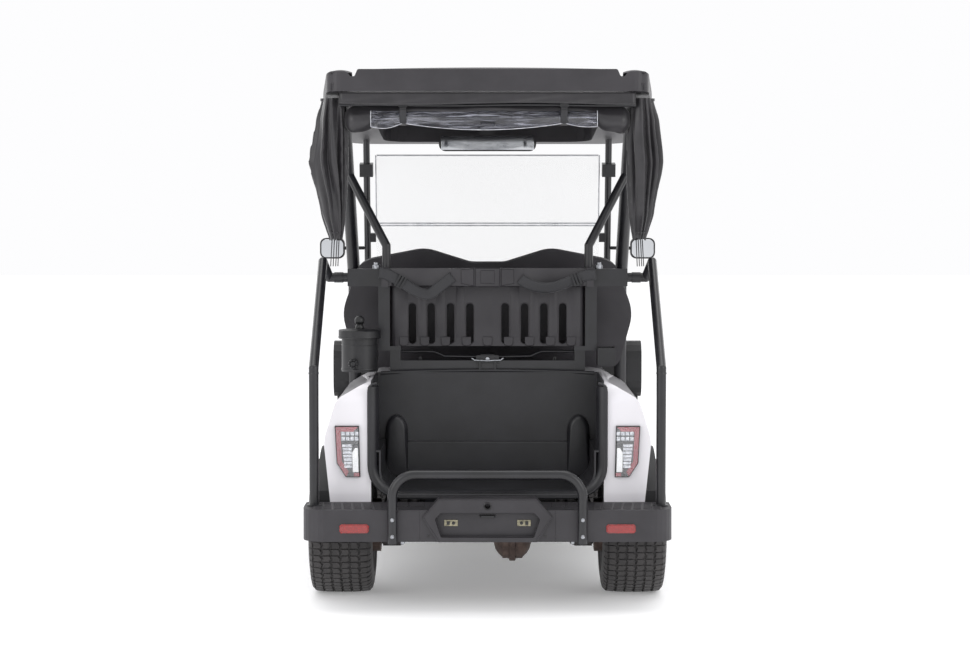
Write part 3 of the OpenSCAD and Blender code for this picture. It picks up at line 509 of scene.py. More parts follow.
ring = ring_tree()
WHEELS = (("front_right", 1, FRONT_X, FRONT_Y, "front_wheel_right"),
          ("front_left", -1, FRONT_X, FRONT_Y, "front_wheel_left"),
          ("rear_right", 1, REAR_X, REAR_Y, "rear_wheel_right"),
          ("rear_left", -1, REAR_X, REAR_Y, "rear_wheel_left"))

for place, side, hub_x, hub_y, body in WHEELS:
    centre = (side * hub_x, hub_y, HUB_Z)
    finish_node("rim_" + place, silver)

    # one spoke: a dished web from the hub to the rim, and ring_tree makes seven
    spoke = Shape()
    section = ((0.036, 0.020, 0.062, 0.048), (0.060, 0.016, 0.066, 0.050),
               (0.082, 0.018, 0.074, 0.056), (0.098, 0.027, 0.083, 0.062))
    pts = []
    for r, half, front, back in section:
        for y, x in ((-half, front - 0.004), (-half * 0.72, front), (half * 0.72, front),
                     (half, front - 0.004), (half, back), (-half, back)):
            pts.append((side * x, y, r))
    spoke.put(pts, caps(4, 6) + skin(4, 6))
    spokes = grow(raw(spoke, "spoke"), ring, "wheel_spokes_" + place, Count=7, Phase=0.0,
                  Centre=centre, Finish=silver)
    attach(spokes, body)

    # hub boss, outer ring and centre cap, turned
    face = Shape()
    face.lathe([(0.024, 0.030), (0.024, 0.040), (0.058, 0.042), (0.064, 0.038), (0.064, 0.030)],
               centre, (side, 0, 0), 48)
    face.make("wheel_hub_boss_" + place, body, silver, slot="rim_paint", bevel=0.0008)
    lip = Shape()
    ring_r = ((0.058, 0.0975), (0.084, 0.0975), (0.086, 0.0990), (0.0865, 0.1120),
              (0.0838, 0.1135))
    lip.lathe([(0.058, 0.0970), *ring_r, (0.0780, 0.1010), (0.058, 0.0985)],
              centre, (side, 0, 0), LIP_SIDES)
    # no caps: the last ring but one is joined to the first, and the last ring's edge is left free
    lip.faces = lip.faces[:-2] + [
        (6 * LIP_SIDES + k, 6 * LIP_SIDES + (k + 1) % LIP_SIDES, (k + 1) % LIP_SIDES, k)
        for k in range(LIP_SIDES)]
    lip.finish = [0] * len(lip.faces)
    lip.make("wheel_lip_" + place, body, silver, slot="rim_paint", smooth=40)
    cap = Shape()
    cap.lathe([(0.060, 0.030), (0.070, 0.029), (0.074, 0.026), (0.076, 0.018), (0.0765, 0.001)],
              centre, (side, 0, 0), 36)
    cap.make("wheel_cap_" + place, body, gloss_black, slot="black_plastic")

    # lug nuts, standing on the boss's step
    nut = Shape()
    nut.slab(hexagon(0.0095), 0.012, axes=((0, 1, 0), (0, 0, 1), (side, 0, 0)),
             at=(side * 0.024, 0, LUG_CIRCLE_R), edge=0.0015)
    nut.lathe([(0.0, 0.0055), (0.010, 0.0055), (0.012, 0.004)],
              (side * 0.030, 0, LUG_CIRCLE_R), (side, 0, 0), 10)
    nuts = grow(raw(nut, "nut"), ring, "lug_nuts_" + place, Count=4, Phase=0.35,
                Centre=centre, Finish=zinc)
    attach(nuts, body)

# ---- Tyres -------------------------------------------------------------------
# Turf tyres of moulded rubber: a smooth bulged sidewall with raised bead rings, and a flat
# crown cut into six ribs of small blocks by zigzag grooves. The rubber is dusty charcoal.
TREAD_DEPTH = 0.0065
PITCHES = 58


def tyre_rubber():
    material, tree, shader = new_material("moulded_rubber_dusty", Roughness=0.72,
                                          Sheen_Weight=0.12, Sheen_Roughness=0.6)
    dust = speckle(tree, 35, 6.0, 0.65)
    tree.links.new(ramp(tree, dust.outputs["Fac"], "#222021", "#3b3838", 0.25, 0.8),
                   shader.inputs["Base Color"])
    bump(tree, shader, speckle(tree, 1.6).outputs["Fac"], 0.12, 0.6)
    return material


rubber = tyre_rubber()


def crown(a):
    """The tread's radius at a distance a from the tyre's middle plane."""
    return TYRE_R - 0.0045 * (abs(a) / 0.092) ** 3


for place, side, hub_x, hub_y, body in WHEELS:
    centre = (side * hub_x, hub_y, HUB_Z)
    base = TREAD_DEPTH
    outer = [(0.0795, 0.1090), (0.0800, 0.1180), (0.0860, 0.1205), (0.0905, 0.1240),
             (0.0920, 0.1262), (0.0945, 0.1290), (0.0990, 0.1400), (0.1035, 0.1560),
             (0.1050, 0.1575), (0.1065, 0.1590), (0.1070, 0.1680), (0.1072, 0.1780),
             (0.1050, 0.1920), (0.1020, 0.2040), (0.0985, 0.2125), (0.0935, crown(0.0935) - base),
             (0.0700, crown(0.07) - base), (0.0350, crown(0.035) - base), (0.0, TYRE_R - base)]
    inner = [(0.0, 0.212), (0.080, 0.208), (0.092, 0.196), (0.096, 0.168), (0.090, 0.140),
             (0.076, 0.124), (0.070, 0.1090)]
    half = outer + inner
    profile = [(-h, r) for h, r in outer] + [(h, r) for h, r in reversed(outer[:-1])]
    profile += [(h, r) for h, r in reversed(inner)] + [(-h, r) for h, r in inner[1:]]
    carcass = Shape()
    carcass.lathe(profile, centre, (1, 0, 0), 96, loop=True)
    tyre = carcass.make("tyre_carcass_" + place, body, rubber, slot="tyre", smooth=35)
    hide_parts("tyre_" + place)

    # one pitch of tread: six chevron blocks and a notched shoulder lug at each side
    pitch = Shape()
    arc = 2 * math.pi * TYRE_R / PITCHES
    for row in range(6):
        a0 = -0.0775 + row * 0.031
        lean = 0.0045 * (1 if row % 2 else -1)
        lower, upper = [], []
        for a, c in ((-0.0118, -0.5), (-0.0118 + 0.0042, 0.0), (-0.0118, 0.5),
                     (0.0118, 0.5), (0.0118 + 0.0042, 0.0), (0.0118, -0.5)):
            y = c * arc * 0.88
            x = a0 + a + lean * (c * 2) * 0.4
            for out, r, squeeze in ((lower, crown(x) - base - 0.002, 1.0),
                                    (upper, crown(x), 0.93)):
                out.append((a0 + (x - a0) * squeeze, y * squeeze,
                            math.sqrt(r * r - (y * squeeze) ** 2)))
        pitch.put(lower + upper, [(5, 4, 3, 2, 1, 0), (6, 7, 8, 9, 10, 11)] + [
            (k, (k + 1) % 6, (k + 1) % 6 + 6, k + 6) for k in range(6)])
    for s in (-1, 1):
        lug = []
        for y in (-0.36 * arc, 0.36 * arc):
            for a, r in ((0.0925, 0.222), (0.1005, 0.2135), (0.1035, 0.2030), (0.1000, 0.2020),
                         (0.0960, 0.2110), (0.0900, 0.2160)):
                lug.append((s * a, y, math.sqrt(r * r - y * y)))
        pitch.put(lug, [(0, 1, 2, 3, 4, 5), (11, 10, 9, 8, 7, 6)] + [
            (k, k + 6, (k + 1) % 6 + 6, (k + 1) % 6) for k in range(6)])
    tread = grow(raw(pitch, "pitch", 25), ring, "tyre_tread_" + place, Count=PITCHES,
                 Phase=math.pi / PITCHES * (1 if side > 0 else 0), Centre=centre, Finish=rubber)
    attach(tread, body)

# ---- Drive and battery ---------------------------------------------------------
# A grey enamelled drive motor on the axle's case, and a sealed battery case of moulded
# polypropylene on the floor under the seat.
motor_enamel = powder_coat("motor_enamel_grey", "#2d2e33", "#3a3b41", 0.45)
battery_moulding = moulded_plastic("moulded_polypropylene_dark", "#232327", "#2c2c31", 0.55)
finish_node("drive_motor", motor_enamel)
finish_node("battery_pack", battery_moulding)

# ---- Floor -------------------------------------------------------------------
# A moulded floor pan with rocker skirts, and a ribbed rubber mat on each side of the tunnel.
# Mat rubber is soft and dull; its ribs run across the cart.
black_grained = moulded_plastic("moulded_abs_black_grained", "#101012", "#18181a", 0.46)
mat_rubber = moulded_plastic("moulded_mat_rubber", "#1d1d1f", "#2b2a2a", 0.8, 1.2, 0.2, 0.1)
finish_node("floorboard", black_grained)
FLOOR_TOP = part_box("floorboard")[1][2]

# ---- Cowl and front bumper ------------------------------------------------------
# The front cowl is one vacuum-formed acrylic-capped shell in gloss white, bolted to the frame's
# towers; liners, bumper and dashboard are grained black mouldings.


def cap_white():
    """Acrylic-capped ABS: bright white under a clear gloss, with the faintest orange peel."""
    material, tree, shader = new_material("acrylic_capped_abs_white", Roughness=0.28,
                                          Coat_Weight=0.8, Coat_Roughness=0.06)
    mottle(tree, shader, 300, "#dddbe0", "#e6e4e8")
    bump(tree, shader, speckle(tree, 18).outputs["Fac"], 0.02, 0.25)
    return material


white = cap_white()
# polycarbonate: clear and glossy, with a slight smoke
lens_clear = plain_finish("polycarbonate_clear", 80, "#e8eaee", "#f4f5f7",
                          Roughness=0.03, IOR=1.58, Transmission_Weight=0.92)
# structural foam in charcoal: matt, with a coarse leather grain and cloudy flow marks
charcoal = moulded_plastic("moulded_foam_charcoal", "#232125", "#2f2d31", 0.50, 2.4, 0.2)
black_soft = moulded_plastic("moulded_abs_black_soft", "#141416", "#1d1d20", 0.40, 1.8, 0.12)


def smooth_copy(node, name, body, material, degrees):
    """The same shape as a carried-over node, its loose triangles joined and its curves smooth."""
    data = cad[node].data.copy()
    data.name = name
    work = bmesh.new()
    work.from_mesh(data)
    bmesh.ops.remove_doubles(work, verts=work.verts, dist=1e-6)
    work.to_mesh(data)
    work.free()
    if "custom_normal" in data.attributes:
        data.attributes.remove(data.attributes["custom_normal"])
    soften(data, degrees)
    data.materials.clear()
    data.materials.append(material)
    data.polygons.foreach_set("material_index", [0] * len(data.polygons))
    thing = bpy.data.objects.new(name, data)
    bpy.context.scene.collection.objects.link(thing)
    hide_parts(node)
    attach(thing, body)
    return thing


smooth_copy("front_cowl", "front_cowl_shell", "chassis", white, 38)
finish_node("wheel_arch_liners", black_grained)
finish_node("front_bumper", charcoal)
finish_node("headlights", lens_clear)
finish_node("dashboard", black_grained)
finish_node("steering_column", black_soft)
finish_node("steering_wheel", black_soft)
finish_node("pedals", black_soft)
finish_node("seat_base", charcoal)
finish_node("seat_pan", black_grained)

# ---- Seat --------------------------------------------------------------------
# A bench cushion and two back cushions: moulded foam under expanded-vinyl covers, sewn in panels
# with a welt round each face, stapled to their boards. The vinyl is soft, grained and sheened.
SIM_FRAMES = 20


def seat_cover(name, dark, pale):
    material, tree, shader = new_material(name, Roughness=0.5, IOR=1.5, Sheen_Weight=0.25,
                                          Sheen_Roughness=0.45)
    tree.links.new(ramp(tree, speckle(tree, 70, 4.0).outputs["Fac"], dark, pale),
                   shader.inputs["Base Color"])
    where = add(tree, "ShaderNodeTexCoord").outputs["Object"]
    grain = add(tree, "ShaderNodeTexVoronoi", {"feature": "DISTANCE_TO_EDGE"}, Vector=where,
                Scale=1000 / 2.6)
    bump(tree, shader, grain.outputs["Distance"], 0.25, 0.5)
    return material


vinyl = seat_cover("expanded_vinyl_grained_stone", "#3a393c", "#47464a")
vinyl_dark = seat_cover("expanded_vinyl_welt_black", "#161618", "#1e1e21")


def rounded_box(size, radius, steps=4):
    """A box about the origin with round edges, as points and faces, for a pad to start from."""
    work = bmesh.new()
    bmesh.ops.create_cube(work, size=1.0)
    for v in work.verts:
        v.co = Vector((v.co.x * size[0], v.co.y * size[1], v.co.z * size[2]))
    bmesh.ops.bevel(work, geom=work.edges[:] + work.verts[:], offset=radius, segments=steps,
                    profile=0.5, affect="EDGES")
    work.verts.ensure_lookup_table()
    pts = [v.co.copy() for v in work.verts]
    fcs = [tuple(v.index for v in f.verts) for f in work.faces]
    work.free()
    return pts, fcs


def stuff(thing, voxel, pressure, cap, low, high):
    """Swells a pad as its foam does under the cover, then holds it inside its own space."""
    remesh = thing.modifiers.new("even_mesh", "REMESH")
    remesh.mode = "VOXEL"
    remesh.voxel_size = voxel
    bpy.context.view_layer.update()
    seen = thing.evaluated_get(bpy.context.evaluated_depsgraph_get())
    data = bpy.data.meshes.new_from_object(seen)
    data.name = thing.name
    thing.modifiers.clear()
    thing.data = data
    rest = [v.co.copy() for v in data.vertices]
    cloth = thing.modifiers.new("cover", "CLOTH")
    settings = cloth.settings
    settings.quality = 5
    settings.mass = 0.4
    settings.tension_stiffness = settings.compression_stiffness = 18
    settings.shear_stiffness = 8
    settings.bending_stiffness = 1.5
    settings.use_pressure = True
    settings.uniform_pressure_force = pressure
    settings.effector_weights.gravity = 0
    cloth.collision_settings.use_collision = False
    cloth.point_cache.frame_start, cloth.point_cache.frame_end = 1, SIM_FRAMES
    for step in range(1, SIM_FRAMES + 1):
        bpy.context.scene.frame_set(step)
    seen = thing.evaluated_get(bpy.context.evaluated_depsgraph_get())
    swollen = [v.co.copy() for v in seen.data.vertices]
    thing.modifiers.clear()
    bpy.context.scene.frame_set(1)
    for v, a, b in zip(data.vertices, rest, swollen):
        move = b - a
        if move.length > cap:
            move *= cap / move.length
        v.co = a + move
    for v in data.vertices:
        v.co = Vector(min(max(c, lo), hi) for c, lo, hi in zip(v.co, low, high))
    work = bmesh.new()
    work.from_mesh(data)
    for _ in range(2):
        bmesh.ops.smooth_vert(work, verts=work.verts, factor=0.5, use_axis_x=True,
                              use_axis_y=True, use_axis_z=True)
    work.to_mesh(data)
    work.free()
    data.shade_smooth()
    return thing


def sew(thing, lines, depth, width):
    """Presses sewn channels into a pad's show face: each line is a distance from a point."""
    for v, normal in [(v, v.normal.copy()) for v in thing.data.vertices]:
        press = 0.0
        for distance in lines:
            d = distance(v.co, normal)
            if d is not None and d < width:
                press = max(press, depth * (0.5 + 0.5 * math.cos(math.pi * d / width)))
        v.co -= normal * press
    thing.data.update()


def welt(name, thing, path, radius, material):
    """A piped edge: a cord of the cover's vinyl laid on the pad's surface along a path."""
    tree = BVHTree.FromPolygons([v.co for v in thing.data.vertices],
                                [tuple(p.vertices) for p in thing.data.polygons])
    snapped = []
    for p in path:
        spot, normal, _, _ = tree.find_nearest(p)
        snapped.append(spot + normal * radius * 0.35)
    for _ in range(2):
        snapped = [(snapped[i - 1] + snapped[i] * 2 + snapped[(i + 1) % len(snapped)]) / 4
                   for i in range(len(snapped))]
    cord = Shape()
    cord.tube(snapped, radius, 8, closed=True)
    thing_mesh = raw(cord, name, 60)
    thing_mesh.data.materials.append(material)
    return thing_mesh


def round_rectangle(half_w, half_l, radius, steps=8):
    """Points round a rectangle with round corners, evenly enough to sweep a cord on."""
    out = []
    corners = ((1, 1, 0), (-1, 1, 90), (-1, -1, 180), (1, -1, 270))
    for sx, sy, turn in corners:
        cx, cy = sx * (half_w - radius), sy * (half_l - radius)
        for k in range(steps + 1):
            a = math.radians(turn + 90 * k / steps)
            out.append((cx + radius * math.cos(a), cy + radius * math.sin(a)))
    full = []
    for i, p in enumerate(out):
        q = out[(i + 1) % len(out)]
        gap = math.dist(p, q)
        parts = max(1, int(gap / 0.02))
        full += [(p[0] + (q[0] - p[0]) * k / parts, p[1] + (q[1] - p[1]) * k / parts)
                 for k in range(parts)]
    return full


def seat_pad(name, size, place, turn, body, nodes, channels):
    """One foam pad: size is its full space, place its middle, turn its lean in degrees."""
    w, l, t = size
    start = [s - 0.018 for s in size]
    pts, fcs = rounded_box(start, 0.035)
    thing = make_mesh(name, pts, fcs)
    grow_room = 0.0035
    stuff(thing, 0.008, 4.0, 0.022, [-s / 2 - grow_room for s in size],
          [s / 2 + grow_room for s in size])
    sew(thing, channels, 0.006, 0.009)
    edge = welt(name + "_welt", thing, [Vector((x, y, t * 0.30)) for x, y in
                                        round_rectangle(w / 2, l / 2, 0.05)], 0.0035, vinyl_dark)
    place_it = Matrix.Translation(place) @ Matrix.Rotation(math.radians(turn), 4, "X")
    for piece in (thing, edge):
        piece.data.transform(place_it)
    thing.data.materials.clear()
    thing.data.materials.append(vinyl)
    finer = thing.modifiers.new("smooth_foam", "SUBSURF")
    finer.levels = finer.render_levels = 1
    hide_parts(*nodes)
    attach(thing, body)
    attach(edge, body)
    return thing


def face_line(axis, at, sign=1):
    """A straight channel on the pad's upper face."""
    return lambda p, n: abs(p[axis] - at) if n.z * sign > 0.35 else None


low, high = (Vector(c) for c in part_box("seat_cushion"))
SEAT_SIZE = tuple(high - low)
seat_pad("seat_cushion_pad", SEAT_SIZE, (low + high) / 2, 0, "seat", ["seat_cushion"],
         [face_line(0, 0.0), face_line(1, -0.085), face_line(1, 0.095), face_line(0, 0.235),
          face_line(0, -0.235)])

# back cushions, leaning with the shell behind them
low, high = (Vector(c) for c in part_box("seat_backrests"))
LEAN = math.radians(10)
BACK_W, BACK_T = 0.424, 0.072
FULL_H = (high.z - low.z - BACK_T * math.sin(LEAN)) / math.cos(LEAN)
BACK_H = FULL_H * 0.87    # its top stays below the shell's saddle
back_middle = Vector((0, (low.y + high.y) / 2, (low.z + high.z) / 2))
for side in (-1, 1):
    name = "back_cushion_pad_" + ("left" if side < 0 else "right")
    down = (FULL_H - BACK_H) / 2
    middle = Vector((side * 0.224, back_middle.y + down * math.sin(LEAN),
                     back_middle.z - down * math.cos(LEAN)))
    made = seat_pad(name, (BACK_W, BACK_H, BACK_T), middle, -80, "chassis", [],
                    [face_line(0, -0.10), face_line(0, 0.10), face_line(1, -0.085)])
    if side > 0:
        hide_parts("seat_backrests")

# ---- Floor mats ----------------------------------------------------------------
# Two rubber mats laid on the floor pan: a bordered sheet with rows of raised ribs, moulded in one
# piece and held by their own weight.
for side in (-1, 1):
    mat = Shape()
    low, high = sorted((side * 0.06, side * 0.46))
    mat.bar((low, -0.02, FLOOR_TOP + 0.0004), (high, 0.40, FLOOR_TOP + 0.0042), edge=0.0012)
    for k in range(26):
        y = 0.0 + k * 0.0148
        mat.bar((low + 0.02, y, FLOOR_TOP + 0.004), (high - 0.02, y + 0.0062, FLOOR_TOP + 0.0068),
                edge=0.0012)
    mat.make("floor_mat_" + ("left" if side < 0 else "right"), "chassis", mat_rubber,
             slot="floor_mat")

# ---- Rear body -----------------------------------------------------------------
# The white rear body is capped ABS like the cowl; flares, bag well and seat-back shell are black
# and charcoal mouldings screwed to it. The shell has two screws and a small amber reflector.
smooth_copy("rear_body", "rear_body_shell", "chassis", white, 38)
finish_node("fender_flares", black_grained)
well_black = moulded_plastic("moulded_polyethylene_black", "#17171a", "#222226", 0.38, 1.6, 0.10)
finish_node("bagwell_liner", well_black)
finish_node("seat_back_shell", charcoal)
finish_node("hip_restraints", black_soft)

# a slab that faces backwards: its outline is in X and Z, and it is lifted towards -Y
FLAT = ((1, 0, 0), (0, 0, 1), (0, -1, 0))
WELL_FLOOR, WELL_FRONT, WELL_BACK = 0.372, -0.640, -0.995
pockets = Shape()
for side in (-1, 1):
    # a tall round-topped boss moulded out of each side of the well's front wall
    steps = 10
    outline = [(0.078, 0.0), (0.078, 0.160)]
    outline += [(0.039 + 0.039 * math.cos(math.pi * k / steps),
                 0.160 + 0.062 * math.sin(math.pi * k / steps)) for k in range(1, steps)]
    outline += [(0.0, 0.160), (0.0, 0.0)]
    pockets.slab([(side * (0.276 + x), z) for x, z in outline], 0.028, axes=FLAT,
                 at=(0, WELL_FRONT - 0.0005, WELL_FLOOR + 0.0005), edge=0.012)
pockets.make("well_pocket_bosses", "chassis", well_black, slot="black_plastic", smooth=50,
             bevel=0.004)
# the step moulded across the front wall, and the raised bead round the well's rear opening
step = Shape()
step.slab(rect(-0.285, 0, 0.285, 0.130), 0.012, axes=FLAT,
          at=(0, WELL_FRONT - 0.0005, WELL_FLOOR + 0.0005), edge=0.006)
step.make("well_front_step", "chassis", well_black, slot="black_plastic", bevel=0.003)


def arch(half_w, low, high, radius, steps=10):
    """A U: down one side, round two bottom corners and up the other, in X and Z."""
    out = [(-half_w, high)]
    for sx, turn in ((-1, 180), (1, 270)):
        for k in range(steps + 1):
            a = math.radians(turn + 90 * k / steps)
            out.append((sx * (half_w - radius) + radius * math.cos(a),
                        low + radius + radius * math.sin(a)))
    return out + [(half_w, high)]


# the moulded frame that turns in from the rear opening's edge to the well's sides
turn_in = Shape()
# each section's half width, low edge, corner radius and Y
profile = ((0.3955, 0.3530, 0.106, -1.0040), (0.3890, 0.3590, 0.101, -1.0075),
           (0.3780, 0.3680, 0.096, -1.0050), (0.3660, 0.3760, 0.090, -0.9930),
           (0.3590, 0.3775, 0.088, -0.9700), (0.3640, 0.3735, 0.092, -0.9700),
           (0.3720, 0.3690, 0.098, -0.9900), (0.3940, 0.3550, 0.105, -0.9960))
sections = [(arch(half_w, low, 0.722, radius, 14), y) for half_w, low, radius, y in profile]
n = len(sections[0][0])
pts = [(x, y, z) for outline, y in sections for x, z in outline]
m = len(sections)
turn_in.put(pts, skin(m, n, ring=False, loop=True) + [
    tuple(i * n for i in range(m)), tuple(i * n + n - 1 for i in reversed(range(m)))])
turn_in.make("well_opening_frame", "chassis", well_black, slot="black_plastic", smooth=60)
bead = Shape()
bead.tube([(x, WELL_BACK - 0.0095, z) for x, z in arch(0.3925, 0.3560, 0.712, 0.104)], 0.0042, 10)
top = [(-0.3925, 0.712), (-0.3890, 0.724), (-0.3790, 0.7315), (-0.365, 0.734)]
bead.tube([(x, WELL_BACK - 0.0095, z) for x, z in top], 0.0042, 10)
bead.tube([(-x, WELL_BACK - 0.0095, z) for x, z in top], 0.0042, 10)
bead.make("well_rim_bead", "chassis", well_black, slot="black_plastic", smooth=60)
# the liner's upper edge: a broad crowned roll over the deck at the well's front
crest = Shape()
crest.tube([(x, WELL_FRONT + 0.002 + 0.010 * lift, 0.7385 + 0.008 * lift) for x, lift in
            [(k * 0.037 - 0.37, 1 - ((k * 0.037 - 0.37) / 0.37) ** 2) for k in range(21)]],
           0.0065, 10)
crest.make("well_crest_roll", "chassis", well_black, slot="black_plastic", smooth=60)

# seat-back shell: rim bead, two screws in round recesses, amber reflector
SHELL_LEAN = math.radians(10)
SHELL_FOOT = (0.0, -0.348, 0.7438)


def on_shell(x, up, out=0.0):
    """A point on the shell's rear face: up along its lean, out behind it."""
    y = SHELL_FOOT[1] - 0.014 - out
    turn = Matrix.Rotation(SHELL_LEAN, 3, "X")
    p = turn @ Vector((x, y - SHELL_FOOT[1], up))
    return Vector((p.x, p.y + SHELL_FOOT[1], p.z + SHELL_FOOT[2]))


SHELL_H = (1.165 - SHELL_FOOT[2]) / math.cos(SHELL_LEAN)
line = []
for k in range(61):
    x = -0.44 + 0.88 * k / 60
    a = abs(x)
    if a < 0.22:
        t = a / 0.22
        rise = SHELL_H - 0.046 + 0.048 * (3 * t * t - 2 * t ** 3)
    else:
        t = (a - 0.22) / 0.22
        rise = SHELL_H + 0.002 - 0.052 * t * t
    line.append(on_shell(x, rise - 0.030, 0.0004))
rim = Shape()
rim.tube(line, 0.0028, 8)
rim.make("shell_rim_bead", "chassis", charcoal, slot="charcoal_plastic", smooth=60)
screws = Shape()
out_of_shell = Matrix.Rotation(SHELL_LEAN, 3, "X") @ Vector((0, -1, 0))
for x in (-0.21, 0.21):
    p = on_shell(x, SHELL_H - 0.052)
    screws.lathe([(0.0, 0.012), (0.002, 0.012), (0.0024, 0.0105), (0.0012, 0.0100)], p,
                 out_of_shell, 20)
    screws.lathe([(0.0, 0.0072), (0.0034, 0.0070), (0.0052, 0.0050), (0.0056, 0.0001)], p,
                 out_of_shell, 16)
screws.make("shell_screws", "chassis", gloss_black, slot="black_plastic")


def prism_lens(name, dark, pale, roughness=0.1, coat=0.8):
    """Reflector acrylic: glossy, with the small prisms behind giving it a pattern."""
    material, tree, shader = new_material(name, Roughness=roughness, IOR=1.49, Coat_Weight=coat,
                                          Coat_Roughness=0.03)
    where = add(tree, "ShaderNodeTexCoord").outputs["Object"]
    prisms = add(tree, "ShaderNodeTexVoronoi", {"distance": "CHEBYCHEV"}, Vector=where,
                 Scale=1000 / 3.0)
    tree.links.new(ramp(tree, prisms.outputs["Distance"], dark, pale, 0.1, 0.9),
                   shader.inputs["Base Color"])
    bump(tree, shader, prisms.outputs["Distance"], 0.3, 0.5)
    return material


amber = prism_lens("acrylic_amber_prismatic", "#b4480c", "#f0842a", 0.12, 0.6)
marker = Shape()
marker.slab(rect(-0.014, -0.022, 0.014, 0.022), 0.007,
            axes=((1, 0, 0), (0, 0.174, 0.985), tuple(out_of_shell)),
            at=on_shell(0.452, 0.112, 0.0002), edge=0.002)
marker.make("amber_marker", "chassis", amber, bevel=0.001)

# ---- Tail lamps and reflectors ---------------------------------------------------
# Each lamp is a black-edged bezel on the corner with a red light band down the outside, bright
# reflector cells behind a clear lens and a pale diffuser block; a red reflector is on the bumper.
lamp_red = prism_lens("polycarbonate_red_band", "#7c1022", "#a82a3e")
reflector_red = prism_lens("acrylic_red_prismatic", "#5e0303", "#a80a08")


# bright aluminium vapour on the lamps' cells, slightly mottled
chrome = plain_finish("vacuum_metallised_abs", 9, "#9b9ea5", "#dfe1e6",
                      Metallic=1.0, Roughness=0.16)
# opal polycarbonate: milky and smooth
opal = plain_finish("opal_polycarbonate", 40, "#f0f2f4", "#fbfbfc", Roughness=0.2)


# the lamps' thin clear cover: only its gloss shows it
film_clear = plain_finish("polycarbonate_lens_shell", 60, "#e9ebef", "#f6f7f9",
                          Roughness=0.03, IOR=1.58, Alpha=0.10)
LAMP_OUT, LAMP_FACE = 0.5045, -1.0056
lamps = Shape()
bezel = [(LAMP_OUT - 0.084, 0.423), (LAMP_OUT - 0.036, 0.423), (LAMP_OUT - 0.006, 0.470),
         (LAMP_OUT, 0.593), (LAMP_OUT - 0.080, 0.593)]


def inset(outline, d):
    """An outline moved in by d on every side."""
    out = []
    n = len(outline)
    for i in range(n):
        a, b, c = (Vector(outline[j % n]) for j in (i - 1, i, i + 1))
        n1 = Vector((-(b - a).y, (b - a).x)).normalized()
        n2 = Vector((-(c - b).y, (c - b).x)).normalized()
        m = (n1 + n2) / (1 + n1.dot(n2))
        out.append(tuple(b + m * d))
    return out


lamps.slab(bezel, 0.0105, 0, axes=FLAT, at=(0, -0.9953, 0), edge=0.001)
# red band: top bar, outer strip, lower chamfer and a small block inside the foot
o, i1 = inset(bezel, 0.0030), inset(bezel, 0.0185)
for part in ([o[4], i1[4], i1[3], o[3]], [o[3], i1[3], i1[2], o[2]], [o[2], i1[2], i1[1], o[1]]):
    lamps.slab(part, 0.0034, 1, axes=FLAT, at=(0, LAMP_FACE, 0), edge=0.0006)
lamps.slab(rect(o[0][0], o[0][1], o[0][0] + 0.018, o[0][1] + 0.012), 0.0030, 1,
           axes=FLAT, at=(0, LAMP_FACE, 0), edge=0.0006)
inner_x = LAMP_OUT - 0.0790
for row in range(2):
    for col in range(4):
        x = inner_x + col * 0.0148
        z = 0.5750 - row * 0.0170
        lamps.slab(rect(x, z - 0.0140, x + 0.0130, z), 0.0022, 2,
                   axes=FLAT, at=(0, LAMP_FACE, 0), edge=0.0012)
for row in range(7):
    z = 0.5330 - row * 0.0115
    half = 0.055 - row * 0.0012
    lamps.slab([(inner_x + 0.022, z - 0.0100), (inner_x + half, z - 0.0100),
                (inner_x + half + 0.0006, z), (inner_x + 0.022, z)], 0.0018 + 0.0003 * row, 2,
               axes=FLAT, at=(0, LAMP_FACE, 0), edge=0.0014)
lamps.slab([(inner_x + 0.0005, 0.4400), (inner_x + 0.0195, 0.4400), (inner_x + 0.0215, 0.5050),
            (inner_x + 0.0120, 0.5200), (inner_x + 0.0025, 0.5200)], 0.0030, 3, axes=FLAT,
           at=(0, LAMP_FACE, 0), edge=0.0014)
lamp = lamps.make("tail_lamp_cells", "chassis", gloss_black, lamp_red, chrome, opal, both=True,
                  slot="red_lens")
BUMPER_FACE = -1.190
reflector = Shape()
for level, grow_by in ((0.0, 0.0), (0.0030, -0.0030)):
    w, h = 0.0475 + grow_by, 0.0148 + grow_by
    corner = 0.006
    outline = [(-w, corner - h), (corner - w, -h), (w - corner, -h), (w, corner - h),
               (w, h - corner), (w - corner, h), (corner - w, h), (-w, h - corner)]
    reflector.slab([(0.430 + x, 0.280 + z) for x, z in outline], 0.0030, 0, axes=FLAT,
                   at=(0, BUMPER_FACE - 0.0003 - level, 0), edge=0.0010)
reflector.make("bumper_reflectors", "chassis", reflector_red, both=True, slot="red_lens")
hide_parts("rear_lamps")
lens_cover = Shape()
lens_cover.slab(inset(bezel, 0.0030), 0.0010, 0, axes=FLAT, at=(0, -1.0098, 0), edge=0.0004)
lens_cover.make("tail_lamp_lens", "chassis", film_clear, both=True, slot="clear_lens")

# ---- Rear bumper -----------------------------------------------------------------
# A moulded structural-foam step with rounded ends, clipped over the frame's brackets. Rows of
# tread bars stand on its top, ribbed patches flank the raised centre, and small plated hinge
# plates sit in the recess under a finger slot.
finish_node("rear_bumper", charcoal)
BUMPER_TOP = 0.340


